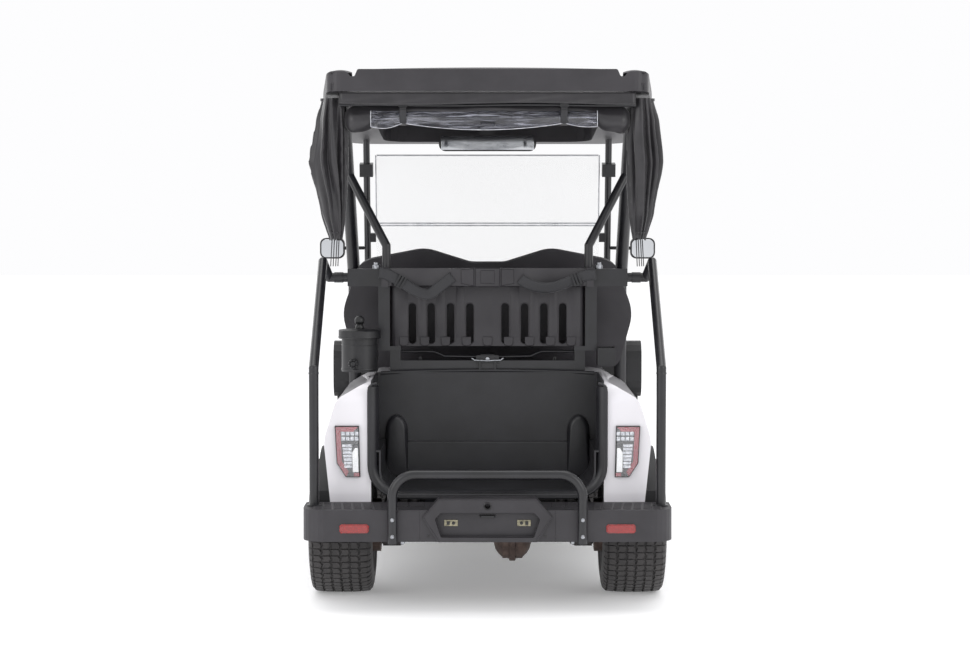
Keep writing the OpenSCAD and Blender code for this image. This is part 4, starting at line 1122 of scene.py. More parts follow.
def grid_tree():
    """Copies a piece along X and Y on a flat, each row slid a little from the one before."""
    tree = node_tree("rows_on_a_flat", Across="Int", Along="Int", Step_X="Float", Step_Y="Float",
                     Slide="Float", Start="Vector", Finish="Material")
    asked = add(tree, "NodeGroupInput")
    put = asked.outputs
    total = maths(tree, "MULTIPLY", put["Across"], put["Along"])
    spots = add(tree, "GeometryNodePoints", None, Count=total)
    index = add(tree, "GeometryNodeInputIndex").outputs[0]
    row = maths(tree, "FLOOR", maths(tree, "DIVIDE", index, put["Across"]))
    column = maths(tree, "MODULO", index, put["Across"])
    slid = maths(tree, "MULTIPLY_ADD", row, put["Slide"],
                 maths(tree, "MULTIPLY", column, put["Step X"]))
    y = maths(tree, "MULTIPLY", row, put["Step Y"])
    spot = add(tree, "ShaderNodeCombineXYZ", None, X=slid, Y=y)
    shifted = add(tree, "ShaderNodeVectorMath", {"operation": "ADD"}, i0=spot.outputs[0],
                  i1=put["Start"])
    placed = add(tree, "GeometryNodeSetPosition", None, Geometry=spots.outputs[0],
                 Position=shifted.outputs[0])
    copies = add(tree, "GeometryNodeInstanceOnPoints", None, Points=placed.outputs[0],
                 Instance=put["Geometry"])
    real = add(tree, "GeometryNodeRealizeInstances", None, Geometry=copies.outputs[0])
    done = add(tree, "GeometryNodeSetMaterial", None, Geometry=real.outputs[0],
               Material=put["Finish"])
    add(tree, "NodeGroupOutput", None, Geometry=done.outputs[0])
    return tree


rows = grid_tree()
for side in (-1, 1):
    name = "left" if side < 0 else "right"
    tread_bar = Shape()
    back, front = (0.0135, 0.0110)[::side]
    tread_bar.slab([(-back, -0.0062), (front, -0.0062), (back, 0.0062), (-front, 0.0062)],
                   0.0026, edge=0.0012)
    start_x = 0.3550 if side > 0 else -0.3550 - 6 * 0.0325
    pads = grow(raw(tread_bar, "bar"), rows, "bumper_step_tread_" + name, **{
        "Across": 7, "Along": 6, "Step X": 0.0325, "Step Y": 0.0245,
        "Slide": side * 0.0022, "Start": (start_x, -1.158, BUMPER_TOP - 0.0003),
        "Finish": charcoal})
    pads.name = "bumper_step_tread_" + name
    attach(pads, "chassis")
    rib = Shape()
    rib.slab(rect(-0.022, -0.0035, 0.022, 0.0035), 0.0026, edge=0.001)
    ribs = grow(raw(rib, "rib"), rows, "bumper_rib_patch_" + name, **{
        "Across": 2, "Along": 7, "Step X": 0.052, "Step Y": 0.0150, "Slide": side * 0.001,
        "Start": (0.228 if side > 0 else -0.280, -1.112, BUMPER_TOP - 0.0003),
        "Finish": charcoal})
    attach(ribs, "chassis")


# yellow zinc-dichromate plate: dull gold-grey
plated = plain_finish("zinc_dichromate_steel", 8, "#6d6a5c", "#a39d86",
                      Metallic=0.9, Roughness=0.4)
details = Shape()
RECESS = BUMPER_FACE + 0.020
for side in (-1, 1):
    x = side * 0.118
    details.slab(rect(x - 0.022, 0.286, x + 0.022, 0.306),
                 0.003, 1, axes=FLAT, at=(0, RECESS + 0.0002, 0), edge=0.0008)
    details.lathe([(0.0, 0.0055), (0.004, 0.0053), (0.0048, 0.003)],
                  (x + side * -0.008, RECESS - 0.0026, 0.296), (0, -1, 0), 14, 0)
    details.slab(rect(x + side * 0.009 - 0.005, 0.290, x + side * 0.009 + 0.005, 0.302), 0.0045, 0,
                 axes=FLAT, at=(0, RECESS + 0.0002, 0), edge=0.0008)
# finger slot: a small hooded lip below the bore
details.slab([(-0.022, 0.3145), (0.022, 0.3145), (0.026, 0.3205), (-0.026, 0.3205)],
             0.012, 0, axes=FLAT, at=(0, RECESS + 0.0002, 0), edge=0.003)
for x in (-0.190, 0.166, 0.186):
    details.lathe([(0.0, 0.0045), (0.0015, 0.0045), (0.0020, 0.003), (0.001, 0.0015)],
                  (x, BUMPER_FACE - 0.0001, 0.256), (0, -1, 0), 12, 0)
# grommet round the bore
details.tube([(0.0118 * math.cos(a), -1.1966, 0.354 + 0.0118 * math.sin(a))
              for a in (k * math.pi / 10 for k in range(20))], 0.0018, 8, 0, closed=True)
details.make("bumper_plates_and_grommet", "chassis", gloss_black, plated, slot="black_plastic")

# the chamfered frame moulded round the recess, and the seams beside it
frame_edge = Shape()
hexa = [(-0.157, 0.2400), (-0.2070, 0.3170), (-0.1560, 0.3740), (0.1560, 0.3740),
        (0.2070, 0.3170), (0.157, 0.2400)]
frame_edge.tube([(x, -1.1958, z) for x, z in hexa], 0.0022, 8)
recess_edge = [(-0.148, 0.2525), (-0.1680, 0.3120), (-0.1490, 0.3305), (0.1490, 0.3305),
               (0.1680, 0.3120), (0.148, 0.2525)]
frame_edge.tube([(x, -1.1898, z) for x, z in recess_edge], 0.0016, 8, closed=True)
for x in (-0.219, 0.219):
    frame_edge.tube([(x, BUMPER_FACE + 0.0002, z) for z in (0.240, 0.337)], 0.0011, 8)
frame_edge.make("bumper_edge_beads", "chassis", charcoal, slot="charcoal_plastic", smooth=60)

# ---- Loop bar and grab rails -------------------------------------------------------
# Bent and welded steel tube, powder coated satin black. The loop stands before the bumper on
# two legs, each held by two button-head bolts; the rails run from the step up to the rack.
finish_node("loop_bar", tube_coat)
finish_node("grab_rails", tube_coat)
bolts = Shape()
for x in (-0.306, 0.306):
    for z in (0.312, 0.258):
        bolts.lathe([(0.0, 0.0068), (0.0012, 0.0068), (0.0038, 0.0050), (0.0044, 0.0026),
                     (0.0030, 0.0024)], (x, -1.2058 - 0.0152, z), (0, -1, 0), 16)
        bolts.slab(hexagon(0.0022), 0.0006, axes=FLAT, at=(x, -1.2240, z))
bolts.make("loop_bar_bolts", "chassis", zinc, slot="forged_steel")

feet = Shape()
for side in (-1, 1):
    x = side * 0.5665
    feet.lathe([(0.0, 0.024), (0.003, 0.024), (0.004, 0.022), (0.0045, 0.0165)],
               (x, -1.085, BUMPER_TOP + 0.0006), (0, 0, 1), 28, 0)
    # the rail's weld beads at its bends, and the clamp where it meets the rack's arm
    feet.lathe([(-0.016, 0.0168), (-0.015, 0.0182), (0.015, 0.0182), (0.016, 0.0168)],
               (side * 0.515, -0.625, 1.070), (1, 0, 0), 24, 0)
    feet.lathe([(-0.003, 0.0166), (0.0, 0.0176), (0.003, 0.0166)],
               (side * 0.5665, -1.085, 0.774), (0, 0, 1), 24, 0)
feet.make("rail_feet_and_collars", "chassis", tube_coat, slot="tube_paint")

# a bright clamp nut on each arm, where the struts' braces are bolted
arm_nuts = Shape()
for side in (-1, 1):
    arm_nuts.lathe([(0.0, 0.013), (0.012, 0.013), (0.014, 0.011), (0.014, 0.006)],
                   (side * 0.385, -0.625, 1.1002), (0, 0, 1), 20, 0)
    arm_nuts.slab(hexagon(0.0085), 0.008, at=(side * 0.385, -0.625, 1.1140), edge=0.001, finish=0)
arm_nuts.make("rack_arm_nuts", "chassis", zinc, slot="forged_steel")

# ---- Rack, basket and bag holder -----------------------------------------------------
# The rack is welded square tube; the sweater basket is one thin polypropylene moulding hooked
# on it with a waved wall and slots; the bag holder is a moulded bar with two cradles.
finish_node("bag_rack", tube_coat)
finish_node("sweater_basket", charcoal)
finish_node("bag_holder", charcoal)
BASKET_Y, BASKET_LOW, BASKET_HIGH = -0.640, 0.833, 1.042
BASKET_HALF = 0.3377

lugs = Shape()
for k in range(9):
    x = -0.290 + k * 0.0725
    foot = [(x - 0.016, 0.0), (x - 0.012, -0.006), (x, -0.0085), (x + 0.012, -0.006),
            (x + 0.016, 0.0), (x + 0.016, 0.024), (x - 0.016, 0.024)]
    lugs.slab([(a, BASKET_LOW + 0.008 + b) for a, b in foot], 0.006, axes=FLAT,
              at=(0, BASKET_Y + 0.0004, 0), edge=0.002)
lugs.make("basket_foot_lugs", "chassis", charcoal, slot="charcoal_plastic", bevel=0.001)

# broad vertical flutes between the slots, a raised centre panel's edges and the rolled top rim
flutes = Shape()
for s in (-1, 1):
    for x in (0.0945, 0.1615, 0.2275, 0.2970):
        w = 0.016 if x < 0.29 else 0.024
        section = [(-w, 0.0), (-w * 0.6, 0.005), (0.0, 0.0066), (w * 0.6, 0.005), (w, 0.0)]
        pts = []
        for z, k in ((BASKET_LOW + 0.030, 0.2), (BASKET_LOW + 0.060, 1.0),
                     (BASKET_HIGH - 0.030, 1.0), (BASKET_HIGH - 0.004, 0.5)):
            pts += [(s * x + a, BASKET_Y - b * k + 0.0004, z) for a, b in section]
        n = 5
        fcs = [(i * n + j, i * n + j + 1, (i + 1) * n + j + 1, (i + 1) * n + j)
               for i in range(3) for j in range(4)]
        fcs += [(i * n + 4, i * n, (i + 1) * n, (i + 1) * n + 4) for i in range(3)]
        fcs += [tuple(reversed(range(5))), tuple(15 + j for j in range(5))]
        flutes.put(pts, fcs)
flutes.make("basket_flutes", "chassis", charcoal, slot="charcoal_plastic", smooth=50)
rim = Shape()
path = round_rectangle(BASKET_HALF - 0.001, 0.094, 0.03)
rim.tube([(x, BASKET_Y + 0.095 + y, BASKET_HIGH + 0.0005) for x, y in path],
         0.0042, 8, closed=True)
rim.make("basket_top_rim", "chassis", charcoal, slot="charcoal_plastic", smooth=60)

# slot edges: a raised bead round each of the eight slots
beads = Shape()
for x in (0.061, 0.128, 0.195, 0.260):
    for s in (-1, 1):
        ring_pts = [(s * x + a, BASKET_Y - 0.0004, 0.911 + b)
                    for a, b in round_rectangle(0.0142, 0.0712, 0.0135, 5)]
        beads.tube(ring_pts, 0.0015, 6, closed=True)
beads.make("basket_slot_beads", "chassis", charcoal, slot="charcoal_plastic", smooth=60)

# latch at the middle of the rack's lower bar, with a bent wire bail and its plate
latch = Shape()
latch.bar((-0.040, -0.626, 0.772), (0.040, -0.6183, 0.800), 0, edge=0.003)
latch.bar((-0.031, -0.6320, 0.744), (-0.022, -0.6190, 0.790), 0, edge=0.002)
latch.bar((0.022, -0.6320, 0.744), (0.031, -0.6190, 0.790), 0, edge=0.002)
latch.tube([(-0.055, -0.626, 0.790), (-0.045, -0.632, 0.783), (0.0, -0.634, 0.781),
            (0.045, -0.632, 0.783), (0.055, -0.626, 0.790)], 0.0030, 8, 1)
latch.lathe([(0.0, 0.009), (0.006, 0.009), (0.008, 0.006)],
            (0.0, -0.6185, 0.786), (0, -1, 0), 16, 1)
latch.make("rack_latch", "chassis", black_soft, zinc, slot="black_plastic", bevel=0.0008)

# bent carrier rods behind the lower bar, two on each side
rods = Shape()
for s in (-1, 1):
    rods.tube([(s * 0.332, -0.600, 0.812), (s * 0.190, -0.600, 0.812), (s * 0.172, -0.600, 0.806),
               (s * 0.150, -0.600, 0.795), (s * 0.040, -0.600, 0.793)], 0.0045, 10)
    rods.tube([(s * 0.235, -0.560, 0.790), (s * 0.232, -0.560, 0.766), (s * 0.220, -0.560, 0.755),
               (s * 0.120, -0.560, 0.7535)], 0.0055, 10)
rods.make("rack_carrier_rods", "chassis", tube_coat, slot="tube_paint", smooth=60)

# bag holder: facetted middle block with bright-edged cheeks, and bands round its ends
HOLD_Y, HOLD_LOW, HOLD_HIGH = -0.7003, 1.044, 1.103
block_face = Shape()
block_face.slab(rect(-0.043, HOLD_LOW - 0.004, 0.043, HOLD_HIGH + 0.002), 0.010, 0, axes=FLAT,
                at=(0, HOLD_Y + 0.004, 0), edge=0.004)
block_face.slab(rect(-0.024, HOLD_LOW + 0.008, 0.024, HOLD_HIGH - 0.006), 0.0022, 0, axes=FLAT,
                at=(0, HOLD_Y - 0.0058, 0), edge=0.002)
for s in (-1, 1):
    cheek = [(s * 0.046, HOLD_LOW - 0.002), (s * 0.092, HOLD_LOW + 0.006),
             (s * 0.092, HOLD_HIGH - 0.002), (s * 0.046, HOLD_HIGH + 0.001)]
    block_face.slab(cheek, 0.007, 0, axes=FLAT, at=(0, HOLD_Y + 0.0045, 0), edge=0.004)
    block_face.bar((s * 0.352 - 0.012, HOLD_Y - 0.0035, HOLD_LOW - 0.004),
                   (s * 0.352 + 0.012, HOLD_Y + 0.052, HOLD_HIGH + 0.004), 0, edge=0.003)
block_face.make("bag_holder_block", "chassis", charcoal, slot="charcoal_plastic", bevel=0.0015)

# ---- Bag straps ------------------------------------------------------------------
# Two 38 mm polyester webbing straps hung across the cradles, each with a plastic ladder buckle.
# The webbing is woven in fine ribs across its width, black and slightly shiny.


def woven_webbing():
    material, tree, shader = new_material("woven_polyester_webbing", Roughness=0.6,
                                          Sheen_Weight=0.3, Sheen_Roughness=0.4)
    where = add(tree, "ShaderNodeUVMap", {"uv_map": "lay"}).outputs["UV"]
    # picks 1.6 mm apart, drawn at 2.4 mm so that they show
    picks = add(tree, "ShaderNodeTexWave", {"bands_direction": "Y"}, Vector=where,
                Scale=2 * math.pi / (20 * 0.0024))
    ends = add(tree, "ShaderNodeTexWave", {"bands_direction": "X"}, Vector=where,
               Scale=2 * math.pi / (20 * 0.0024))
    both = add(tree, "ShaderNodeMath", {"operation": "MULTIPLY"}, i0=picks.outputs["Fac"],
               i1=ends.outputs["Fac"])
    tree.links.new(ramp(tree, both.outputs[0], "#1a1a1d", "#38383d", 0.1, 0.9),
                   shader.inputs["Base Color"])
    bump(tree, shader, both.outputs[0], 0.3, 0.6)
    return material


def coated_cloth():
    """PVC-coated polyester cloth: black, supple, with a soft gloss on each fold."""
    material, tree, shader = new_material("pvc_coated_cloth_black", Roughness=0.38,
                                          Sheen_Weight=0.15, Sheen_Roughness=0.5, IOR=1.5)
    tree.links.new(ramp(tree, speckle(tree, 50, 5.0).outputs["Fac"], "#19181b", "#262428"),
                   shader.inputs["Base Color"])
    fine = speckle(tree, 2.2, 2.0)
    bump(tree, shader, fine.outputs["Fac"], 0.12, 0.5)
    return material


webbing = woven_webbing()
cloth = coated_cloth()


def flowing(points, count):
    """Points evenly along a smooth line through the given ones (Catmull-Rom)."""
    pts = [Vector(p) for p in points]
    pts = [pts[0] * 2 - pts[1]] + pts + [pts[-1] * 2 - pts[-2]]
    fine = []
    for i in range(1, len(pts) - 2):
        a, b, c, d = pts[i - 1 : i + 3]
        for k in range(24):
            t = k / 24
            fine.append(0.5 * (2 * b + (c - a) * t + (2 * a - 5 * b + 4 * c - d) * t * t
                               + (3 * b - a - 3 * c + d) * t ** 3))
    fine.append(pts[-2])
    run = [0.0]
    for a, b in zip(fine, fine[1:]):
        run.append(run[-1] + (b - a).length)
    out, j = [], 0
    for k in range(count):
        want = run[-1] * k / (count - 1)
        while j < len(run) - 2 and run[j + 1] < want:
            j += 1
        t = (want - run[j]) / max(run[j + 1] - run[j], 1e-9)
        out.append(fine[j].lerp(fine[j + 1], min(max(t, 0), 1)))
    return out


def cloth_grid(name, grid, material, thick):
    """A sheet from rows of points, with UVs in metres and its cloth's thickness."""
    n_rows, n_cols = len(grid), len(grid[0])
    thing = make_mesh(name, [p for line in grid for p in line], skin(n_rows, n_cols, ring=False))
    uv = thing.data.uv_layers.new(name="lay")
    for loop in thing.data.loops:
        i, j = divmod(loop.vertex_index, n_cols)
        uv.data[loop.index].uv = (
            j * (Vector(grid[i][1]) - Vector(grid[i][0])).length,
            i * (Vector(grid[1][j]) - Vector(grid[0][j])).length)
    thing.data.materials.append(material)
    if thick:
        wall = thing.modifiers.new("cloth_thickness", "SOLIDIFY")
        wall.thickness = thick
        wall.offset = 0
    return thing


def declare_sheet(thing, body="chassis"):
    """Rides on its body."""
    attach(thing, body)


STRAPS = (
    ("left", [(-0.372, 1.089), (-0.345, 1.084), (-0.292, 1.056), (-0.240, 1.024), (-0.200, 1.016),
              (-0.165, 1.040), (-0.120, 1.075)]),
    ("right", [(0.112, 1.068), (0.140, 1.050), (0.190, 1.037), (0.240, 1.043), (0.326, 1.076),
               (0.372, 1.083)]),
)
WEB_W = 0.038
STRAP_POINTS = 44
last = STRAP_POINTS - 1
for name, path in STRAPS:
    line = flowing([(x, -0.7052 - 0.002 * math.sin(9 * x), z) for x, z in path], STRAP_POINTS)
    grid = []
    for i, p in enumerate(line):
        along = (line[min(i + 1, last)] - line[max(i - 1, 0)]).normalized()
        lean = 0.35 * math.sin(3.1 * i / last) * (1 if name == "left" else -1)
        across = (Vector((-along.z, 0, along.x)) * math.cos(lean)
                  + Vector((0, 1, 0)) * math.sin(lean))
        bow = Vector((0, -0.0012, 0))
        grid.append([p + across * (WEB_W * (j / 6 - 0.5)) + bow * (1 - (j / 3 - 1) ** 2)
                     for j in range(7)])
    strap = cloth_grid("bag_strap_" + name, grid, webbing, 0.0016)
    if name == "left":
        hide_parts("bag_straps")
    declare_sheet(strap)
    buckle_at = 12 if name == "left" else 32
    q = line[buckle_at]
    along = (line[buckle_at + 1] - q).normalized()
    buckle = Shape()
    side_way = Vector((-along.z, 0, along.x))
    for a in (-0.011, 0.0, 0.011):
        buckle.slab(rect(a - 0.003, -0.023, a + 0.003, 0.023),
                    0.004, axes=(along, side_way, (0, -1, 0)), at=q + Vector((0, -0.0040, 0)),
                    edge=0.001)
    for b in (-0.023, 0.019):
        buckle.slab(rect(-0.014, b, 0.014, b + 0.004), 0.0045,
                    axes=(along, side_way, (0, -1, 0)), at=q + Vector((0, -0.0040, 0)), edge=0.001)
    buckle.make("strap_buckle_" + name, "chassis", gloss_black, slot="black_plastic")

# ---- Ball washer and bracket --------------------------------------------------------
# A blow-moulded washer cup with a screwed lid and a ball-knob plunger; a drain knob at its foot.
# The box bracket on the other post holds sand or seed bottles.
finish_node("ball_washer", black_soft)
finish_node("bottle_bracket", black_soft)
washer = Shape()
cx, cy = -0.438, -0.720
# lid skirt, lid crown, foot band, waist band and plunger collar
for z, sides, profile in (
        (0.8655, 48, [(0.0, 0.0718), (0.003, 0.0735), (0.006, 0.0728)]),
        (0.8906, 48, [(0.0, 0.0715), (0.0022, 0.0725), (0.0042, 0.0700), (0.0060, 0.0450),
                      (0.0075, 0.0300)]),
        (0.7560, 48, [(0.0, 0.0622), (0.002, 0.0634), (0.006, 0.0634), (0.008, 0.0622)]),
        (0.8420, 48, [(0.0, 0.0620), (0.0015, 0.0626), (0.003, 0.0620)]),
        (0.8975, 24, [(0.0, 0.0140), (0.006, 0.0150), (0.012, 0.0130), (0.016, 0.0102)])):
    washer.lathe(profile, (cx, cy, z), sides=sides)
for k in range(10):
    a = 2 * math.pi * k / 10
    px, pz = cx - 0.018 + 0.0135 * math.cos(a), 0.782 + 0.0135 * math.sin(a)
    washer.lathe([(0.0, 0.0034), (0.008, 0.0034), (0.0095, 0.002)],
                 (px, cy - 0.0790, pz), (0, -1, 0), 8)
washer.make("ball_washer_rings", "chassis", black_soft, slot="black_plastic", smooth=40)

# ---- Roof and struts ------------------------------------------------------------------
# The roof is a twin-skin rotational moulding in charcoal polyethylene: crowned centre panel,
# two gutters, domed side rails and a ribbed grip edge. Steel tubes carry it at four corners.
finish_node("roof", charcoal)
finish_node("rear_struts", tube_coat)
finish_node("front_struts", tube_coat)
ROOF_Y, ROOF_Z, ROOF_TILT = -0.930, 1.770, math.radians(4.2486)
ROOF_L = 1.750


def on_roof(x, along, up):
    """A point on the leaning roof: along it from the rear edge, and up from its top."""
    return Vector((x, ROOF_Y + along * math.cos(ROOF_TILT) + up * math.sin(ROOF_TILT),
                   ROOF_Z - along * math.sin(ROOF_TILT) + up * math.cos(ROOF_TILT)))


def blanket(name, columns, lines, place, material):
    """A closed panel: a shaped upper skin over a flat lower one, stitched round its edge."""
    nx, ny = len(columns), len(lines)
    upper = [place(x, y, True) for y in lines for x in columns]
    lower = [place(x, y, False) for y in lines for x in columns]
    fcs = []
    for j in range(ny - 1):
        for i in range(nx - 1):
            a = j * nx + i
            fcs.append((a, a + 1, a + nx + 1, a + nx))
            b = a + nx * ny
            fcs.append((b + nx, b + nx + 1, b + 1, b))
    ring_of = ([i for i in range(nx)] + [j * nx + nx - 1 for j in range(1, ny)]
               + [(ny - 1) * nx + i for i in range(nx - 2, -1, -1)]
               + [j * nx for j in range(ny - 2, 0, -1)])
    for a, b in zip(ring_of, ring_of[1:] + ring_of[:1]):
        fcs.append((b, a, a + nx * ny, b + nx * ny))
    panel = Shape()
    panel.put(upper + lower, fcs)
    return panel.make(name, "chassis", material, slot="charcoal_plastic", smooth=55)


CROWN_HALF = 0.428


def crown_panel(x, y, upper):
    """The roof's crown: highest in the middle, fluted near its sides, falling at its ends."""
    t = min(max((abs(x) - 0.385) / (CROWN_HALF - 0.385), 0), 1)
    u = min(max((0.030 - y) / 0.030, 0), 1) + min(max((y - ROOF_L + 0.05) / 0.05, 0), 1)
    if not upper:
        return on_roof(x, y, -0.004)
    h = 0.0085 * (1 - 0.75 * (x / CROWN_HALF) ** 2) - 0.006 * t * t - 0.010 * u * u
    fluted = 0.12 < y < ROOF_L - 0.12
    flute = 0.0022 * math.exp(-((abs(x) - 0.30) / 0.012) ** 2) if fluted else 0
    return on_roof(x, y, max(h - flute, -0.0035))


xs = [-CROWN_HALF + 2 * CROWN_HALF * k / 72 for k in range(73)]
ys = [0.001, 0.006, 0.014, 0.024, 0.036] + [0.06 + (ROOF_L - 0.14) * k / 24 for k in range(25)] + [
    ROOF_L - 0.05, ROOF_L - 0.02, ROOF_L - 0.004]
blanket("roof_crown", xs, ys, crown_panel, charcoal)


def dome_panel(side):
    """One side rail of the roof, domed across and rounded off at both ends."""
    def place(x, y, upper):
        t = (x - 0.508) / 0.038
        x -= 0.022 * (1 - min(max(y / 0.42, 0), 1))
        if not upper:
            return on_roof(side * x, y, -0.012)
        end = min(max((0.04 - y) / 0.04, 0), 1) + min(max((y - ROOF_L + 0.08) / 0.08, 0), 1)
        return on_roof(side * x, y, -0.006 + 0.0075 * (1 - t * t) - 0.012 * end * end)
    return place


for side, name in ((-1, "left"), (1, "right")):
    # the rail narrows towards the rear edge with the roof itself
    blanket("roof_side_dome_" + name, [0.470 + 0.0076 * k for k in range(11)],
            [0.004, 0.012, 0.025, 0.040] + [0.08 + (ROOF_L - 0.18) * k / 20 for k in range(21)] + [
                ROOF_L - 0.05, ROOF_L - 0.012], dome_panel(side), charcoal)


# a strip of the same moulding along the roof's rear face, paler than the rest
pale_strip = moulded_plastic("moulded_foam_pale_strip", "#353237", "#48444a", 0.5, 2.0, 0.1)
strip = Shape()
segments = [-0.402, -0.218, -0.178, -0.033, 0.020, 0.142, 0.182, 0.330, 0.402]
for a, b in zip(segments, segments[1:]):
    strip.slab(rect(a + 0.0006, 1.7005, b - 0.0006, 1.7170),
               0.0035, axes=FLAT, at=(0, ROOF_Y + 0.0045, 0), edge=0.0012)
strip.make("roof_parting_strip", "chassis", pale_strip, slot="charcoal_plastic")

# ribbed grip edge round the rear corners and along the sides
for side, name in ((-1, "left"), (1, "right")):
    ribs = Shape()
    for k in range(22):
        p = on_roof(0, 0.46 + 0.058 * k, -0.058)
        ribs.slab(rect(-0.0020, -0.0105, 0.0020, 0.0105), 0.0026,
                  axes=((0, 1, 0), (0, 0, 1), (side, 0, 0)), at=(side * 0.5745, p.y, p.z),
                  edge=0.0008)
    for k in range(9):
        x = side * (0.452 + 0.0085 * k)
        ribs.slab(rect(-0.0016, -0.0125, 0.0016, 0.0125), 0.0026,
                  axes=FLAT, at=(x, ROOF_Y + 0.0035, 1.7120), edge=0.0008)
    ribs.make("roof_edge_ribs_" + name, "chassis", charcoal, slot="charcoal_plastic")

# ---- Bag cover and curtains --------------------------------------------------------
# A PVC-coated cloth cover with a clear window, rolled up under the roof's rear edge and held by
# two webbing straps with buckles. At each corner a weather curtain of the same cloth is drawn
# together in deep pleats, gathered dark at its foot and tied down to the rack by thin straps.
ROLL_Y = -0.878


def roll_line(x):
    """The roll's middle height and radii (deep, high) at x: fat at its ends, thin between."""
    end = 1 / (1 + math.exp((x + 0.372) * 70)) + 1 / (1 + math.exp((0.362 - x) * 70))
    z = 1.6340 - 0.0300 * end
    high = 0.0240 + 0.0215 * end
    deep = 0.0380 + 0.0060 * end
    return z, deep, high


AROUND, STATIONS = 36, 91
grid = []
for i in range(STATIONS):
    x = -0.474 + 0.948 * i / (STATIONS - 1)
    z, deep, high = roll_line(x)
    tip = min(1.0, (0.474 - abs(x)) / 0.030 + 0.25) ** 0.5
    line = []
    for k in range(AROUND + 1):
        a = 2 * math.pi * k / AROUND
        fold = 1 + 0.045 * math.sin(3 * a + 9 * x) + 0.030 * math.sin(5 * a - 23 * x + 1.3)
        if x > 0.34:
            # the right end is crushed into V folds
            fold += 0.10 * math.sin(70 * (x - 0.34) + 2.4 * math.cos(a)) * math.cos(a * 0.5) ** 2
        elif x < -0.36:
            fold += 0.035 * math.sin(26 * x + 2 * a)
        line.append(Vector((x, ROLL_Y + deep * tip * fold * math.cos(a),
                            z + high * tip * fold * math.sin(a))))
    line[-1] = line[0].copy()
    grid.append(line)
roll = cloth_grid("bag_cover_rolled_cloth", grid, cloth, 0.0)
reworked(roll.data, weld,
         lambda work: bmesh.ops.holes_fill(work, edges=[e for e in work.edges if e.is_boundary]))
roll.data.shade_smooth()
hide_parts("bag_cover_roll")
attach(roll, "chassis")

# the flap that hangs from the roof's edge over the roll, with its hem
grid = []
for j in range(9):
    z = 1.6925 - 0.0045 * j
    line = []
    for i in range(81):
        x = -0.490 + 0.980 * i / 80
        wave = 0.0016 * math.sin(31 * x + 0.9 * j) + 0.0022 * math.sin(11 * x + 2)
        droop = 0.0035 * math.sin(8 * x + 0.6) * j / 8
        line.append(Vector((x, -0.9290 - 0.0012 * j + wave * j / 8, z + droop)))
    grid.append(line)
flap = cloth_grid("bag_cover_flap", grid, cloth, 0.0012)
declare_sheet(flap)
hem = Shape()
hem.tube([p + Vector((0, -0.0002, 0)) for p in grid[-1]], 0.0024, 8)
hem.make("bag_cover_flap_hem", "chassis", cloth, slot="curtain_vinyl", smooth=60)
# painted shade: a black bar under the flap's hem, laid where the shadow between the flap and the
# roll falls
shadow_bar = Shape()
shadow_bar.tube([(x, -0.9180, 1.6520 + 0.0015 * math.sin(12 * x)) for x in
           [-0.492 + 0.984 * k / 40 for k in range(41)]], 0.0055, 10)
shadow_bar.make("bag_cover_pole", "chassis", tube_coat, slot="tube_paint", smooth=60)


def clear_vinyl():
    """Window film: clear soft PVC, glossy, with milky creases where it has been rolled."""
    material, tree, shader = new_material("clear_pvc_film", Roughness=0.12, IOR=1.5,
                                          Coat_Weight=0.5, Coat_Roughness=0.05)
    where = add(tree, "ShaderNodeTexCoord").outputs["Object"]
    lay = add(tree, "ShaderNodeMapping", None, Vector=where, Scale=(2.2, 14.0, 30.0))
    crease = add(tree, "ShaderNodeTexNoise", None, Vector=lay.outputs[0], Scale=4.0, Detail=6.0,
                 Roughness=0.65, Distortion=1.2)
    tree.links.new(ramp(tree, crease.outputs["Fac"], "#34353f", "#c3c5d2", 0.48, 0.76),
                   shader.inputs["Base Color"])
    clear = ramp(tree, crease.outputs["Fac"], 0.22, 0.75, 0.46, 0.74)
    tree.links.new(clear, shader.inputs["Alpha"])
    bump(tree, shader, crease.outputs["Fac"], 1.2, 0.6)
    return material


film = clear_vinyl()
grid = []
TIES = (-0.280, 0.254)


def scallop(x):
    """How low the rolled window sags at x: pulled up at its two ties."""
    if x < TIES[0]:
        t = (x + 0.387) / (TIES[0] + 0.387)
        return 1.5800 + 0.0130 * t - 0.0110 * math.sin(math.pi * t)
    if x > TIES[1]:
        t = (x - TIES[1]) / (0.364 - TIES[1])
        return 1.5930 - 0.0120 * t - 0.0060 * math.sin(math.pi * t)
    t = (x - TIES[0]) / (TIES[1] - TIES[0])
    return 1.5930 - 0.0230 * math.sin(math.pi * t) ** 0.8


for j in range(19):
    v = j / 18
    line = []
    for i in range(101):
        x = -0.387 + 0.751 * i / 100
        low = scallop(x)
        high_z = 1.6330
        pinch = sum(math.exp(-((x - t) / 0.016) ** 2) for t in TIES)
        belly = math.sin(math.pi * min(v * 1.05, 1)) ** 0.7
        y = -0.9140 - 0.0120 * belly * (1 - 0.55 * pinch)
        y += 0.0016 * math.sin(60 * v + 14 * x) * (1 - pinch * 0.5)
        y += 0.0014 * math.sin(90 * x + 20 * v)
        line.append(Vector((x, y, high_z + (low - high_z) * v)))
    grid.append(line)
window = cloth_grid("bag_cover_window", grid, film, 0.0008)
declare_sheet(window)
edge_bind = Shape()
for line in ([grid[-1][i] for i in range(101)], [grid[j][0] for j in range(19)],
             [grid[j][100] for j in range(19)]):
    edge_bind.tube([p + Vector((0, -0.0003, 0)) for p in line], 0.0011, 6)


# the film's cut edge gathers light and looks white
pale_edge = plain_finish("clear_pvc_film_edge", 12, "#a7a9b2", "#e6e7ec", Roughness=0.25, IOR=1.5)
edge_bind.make("bag_cover_window_edge", "chassis", pale_edge, slot="clear_lens", smooth=60)

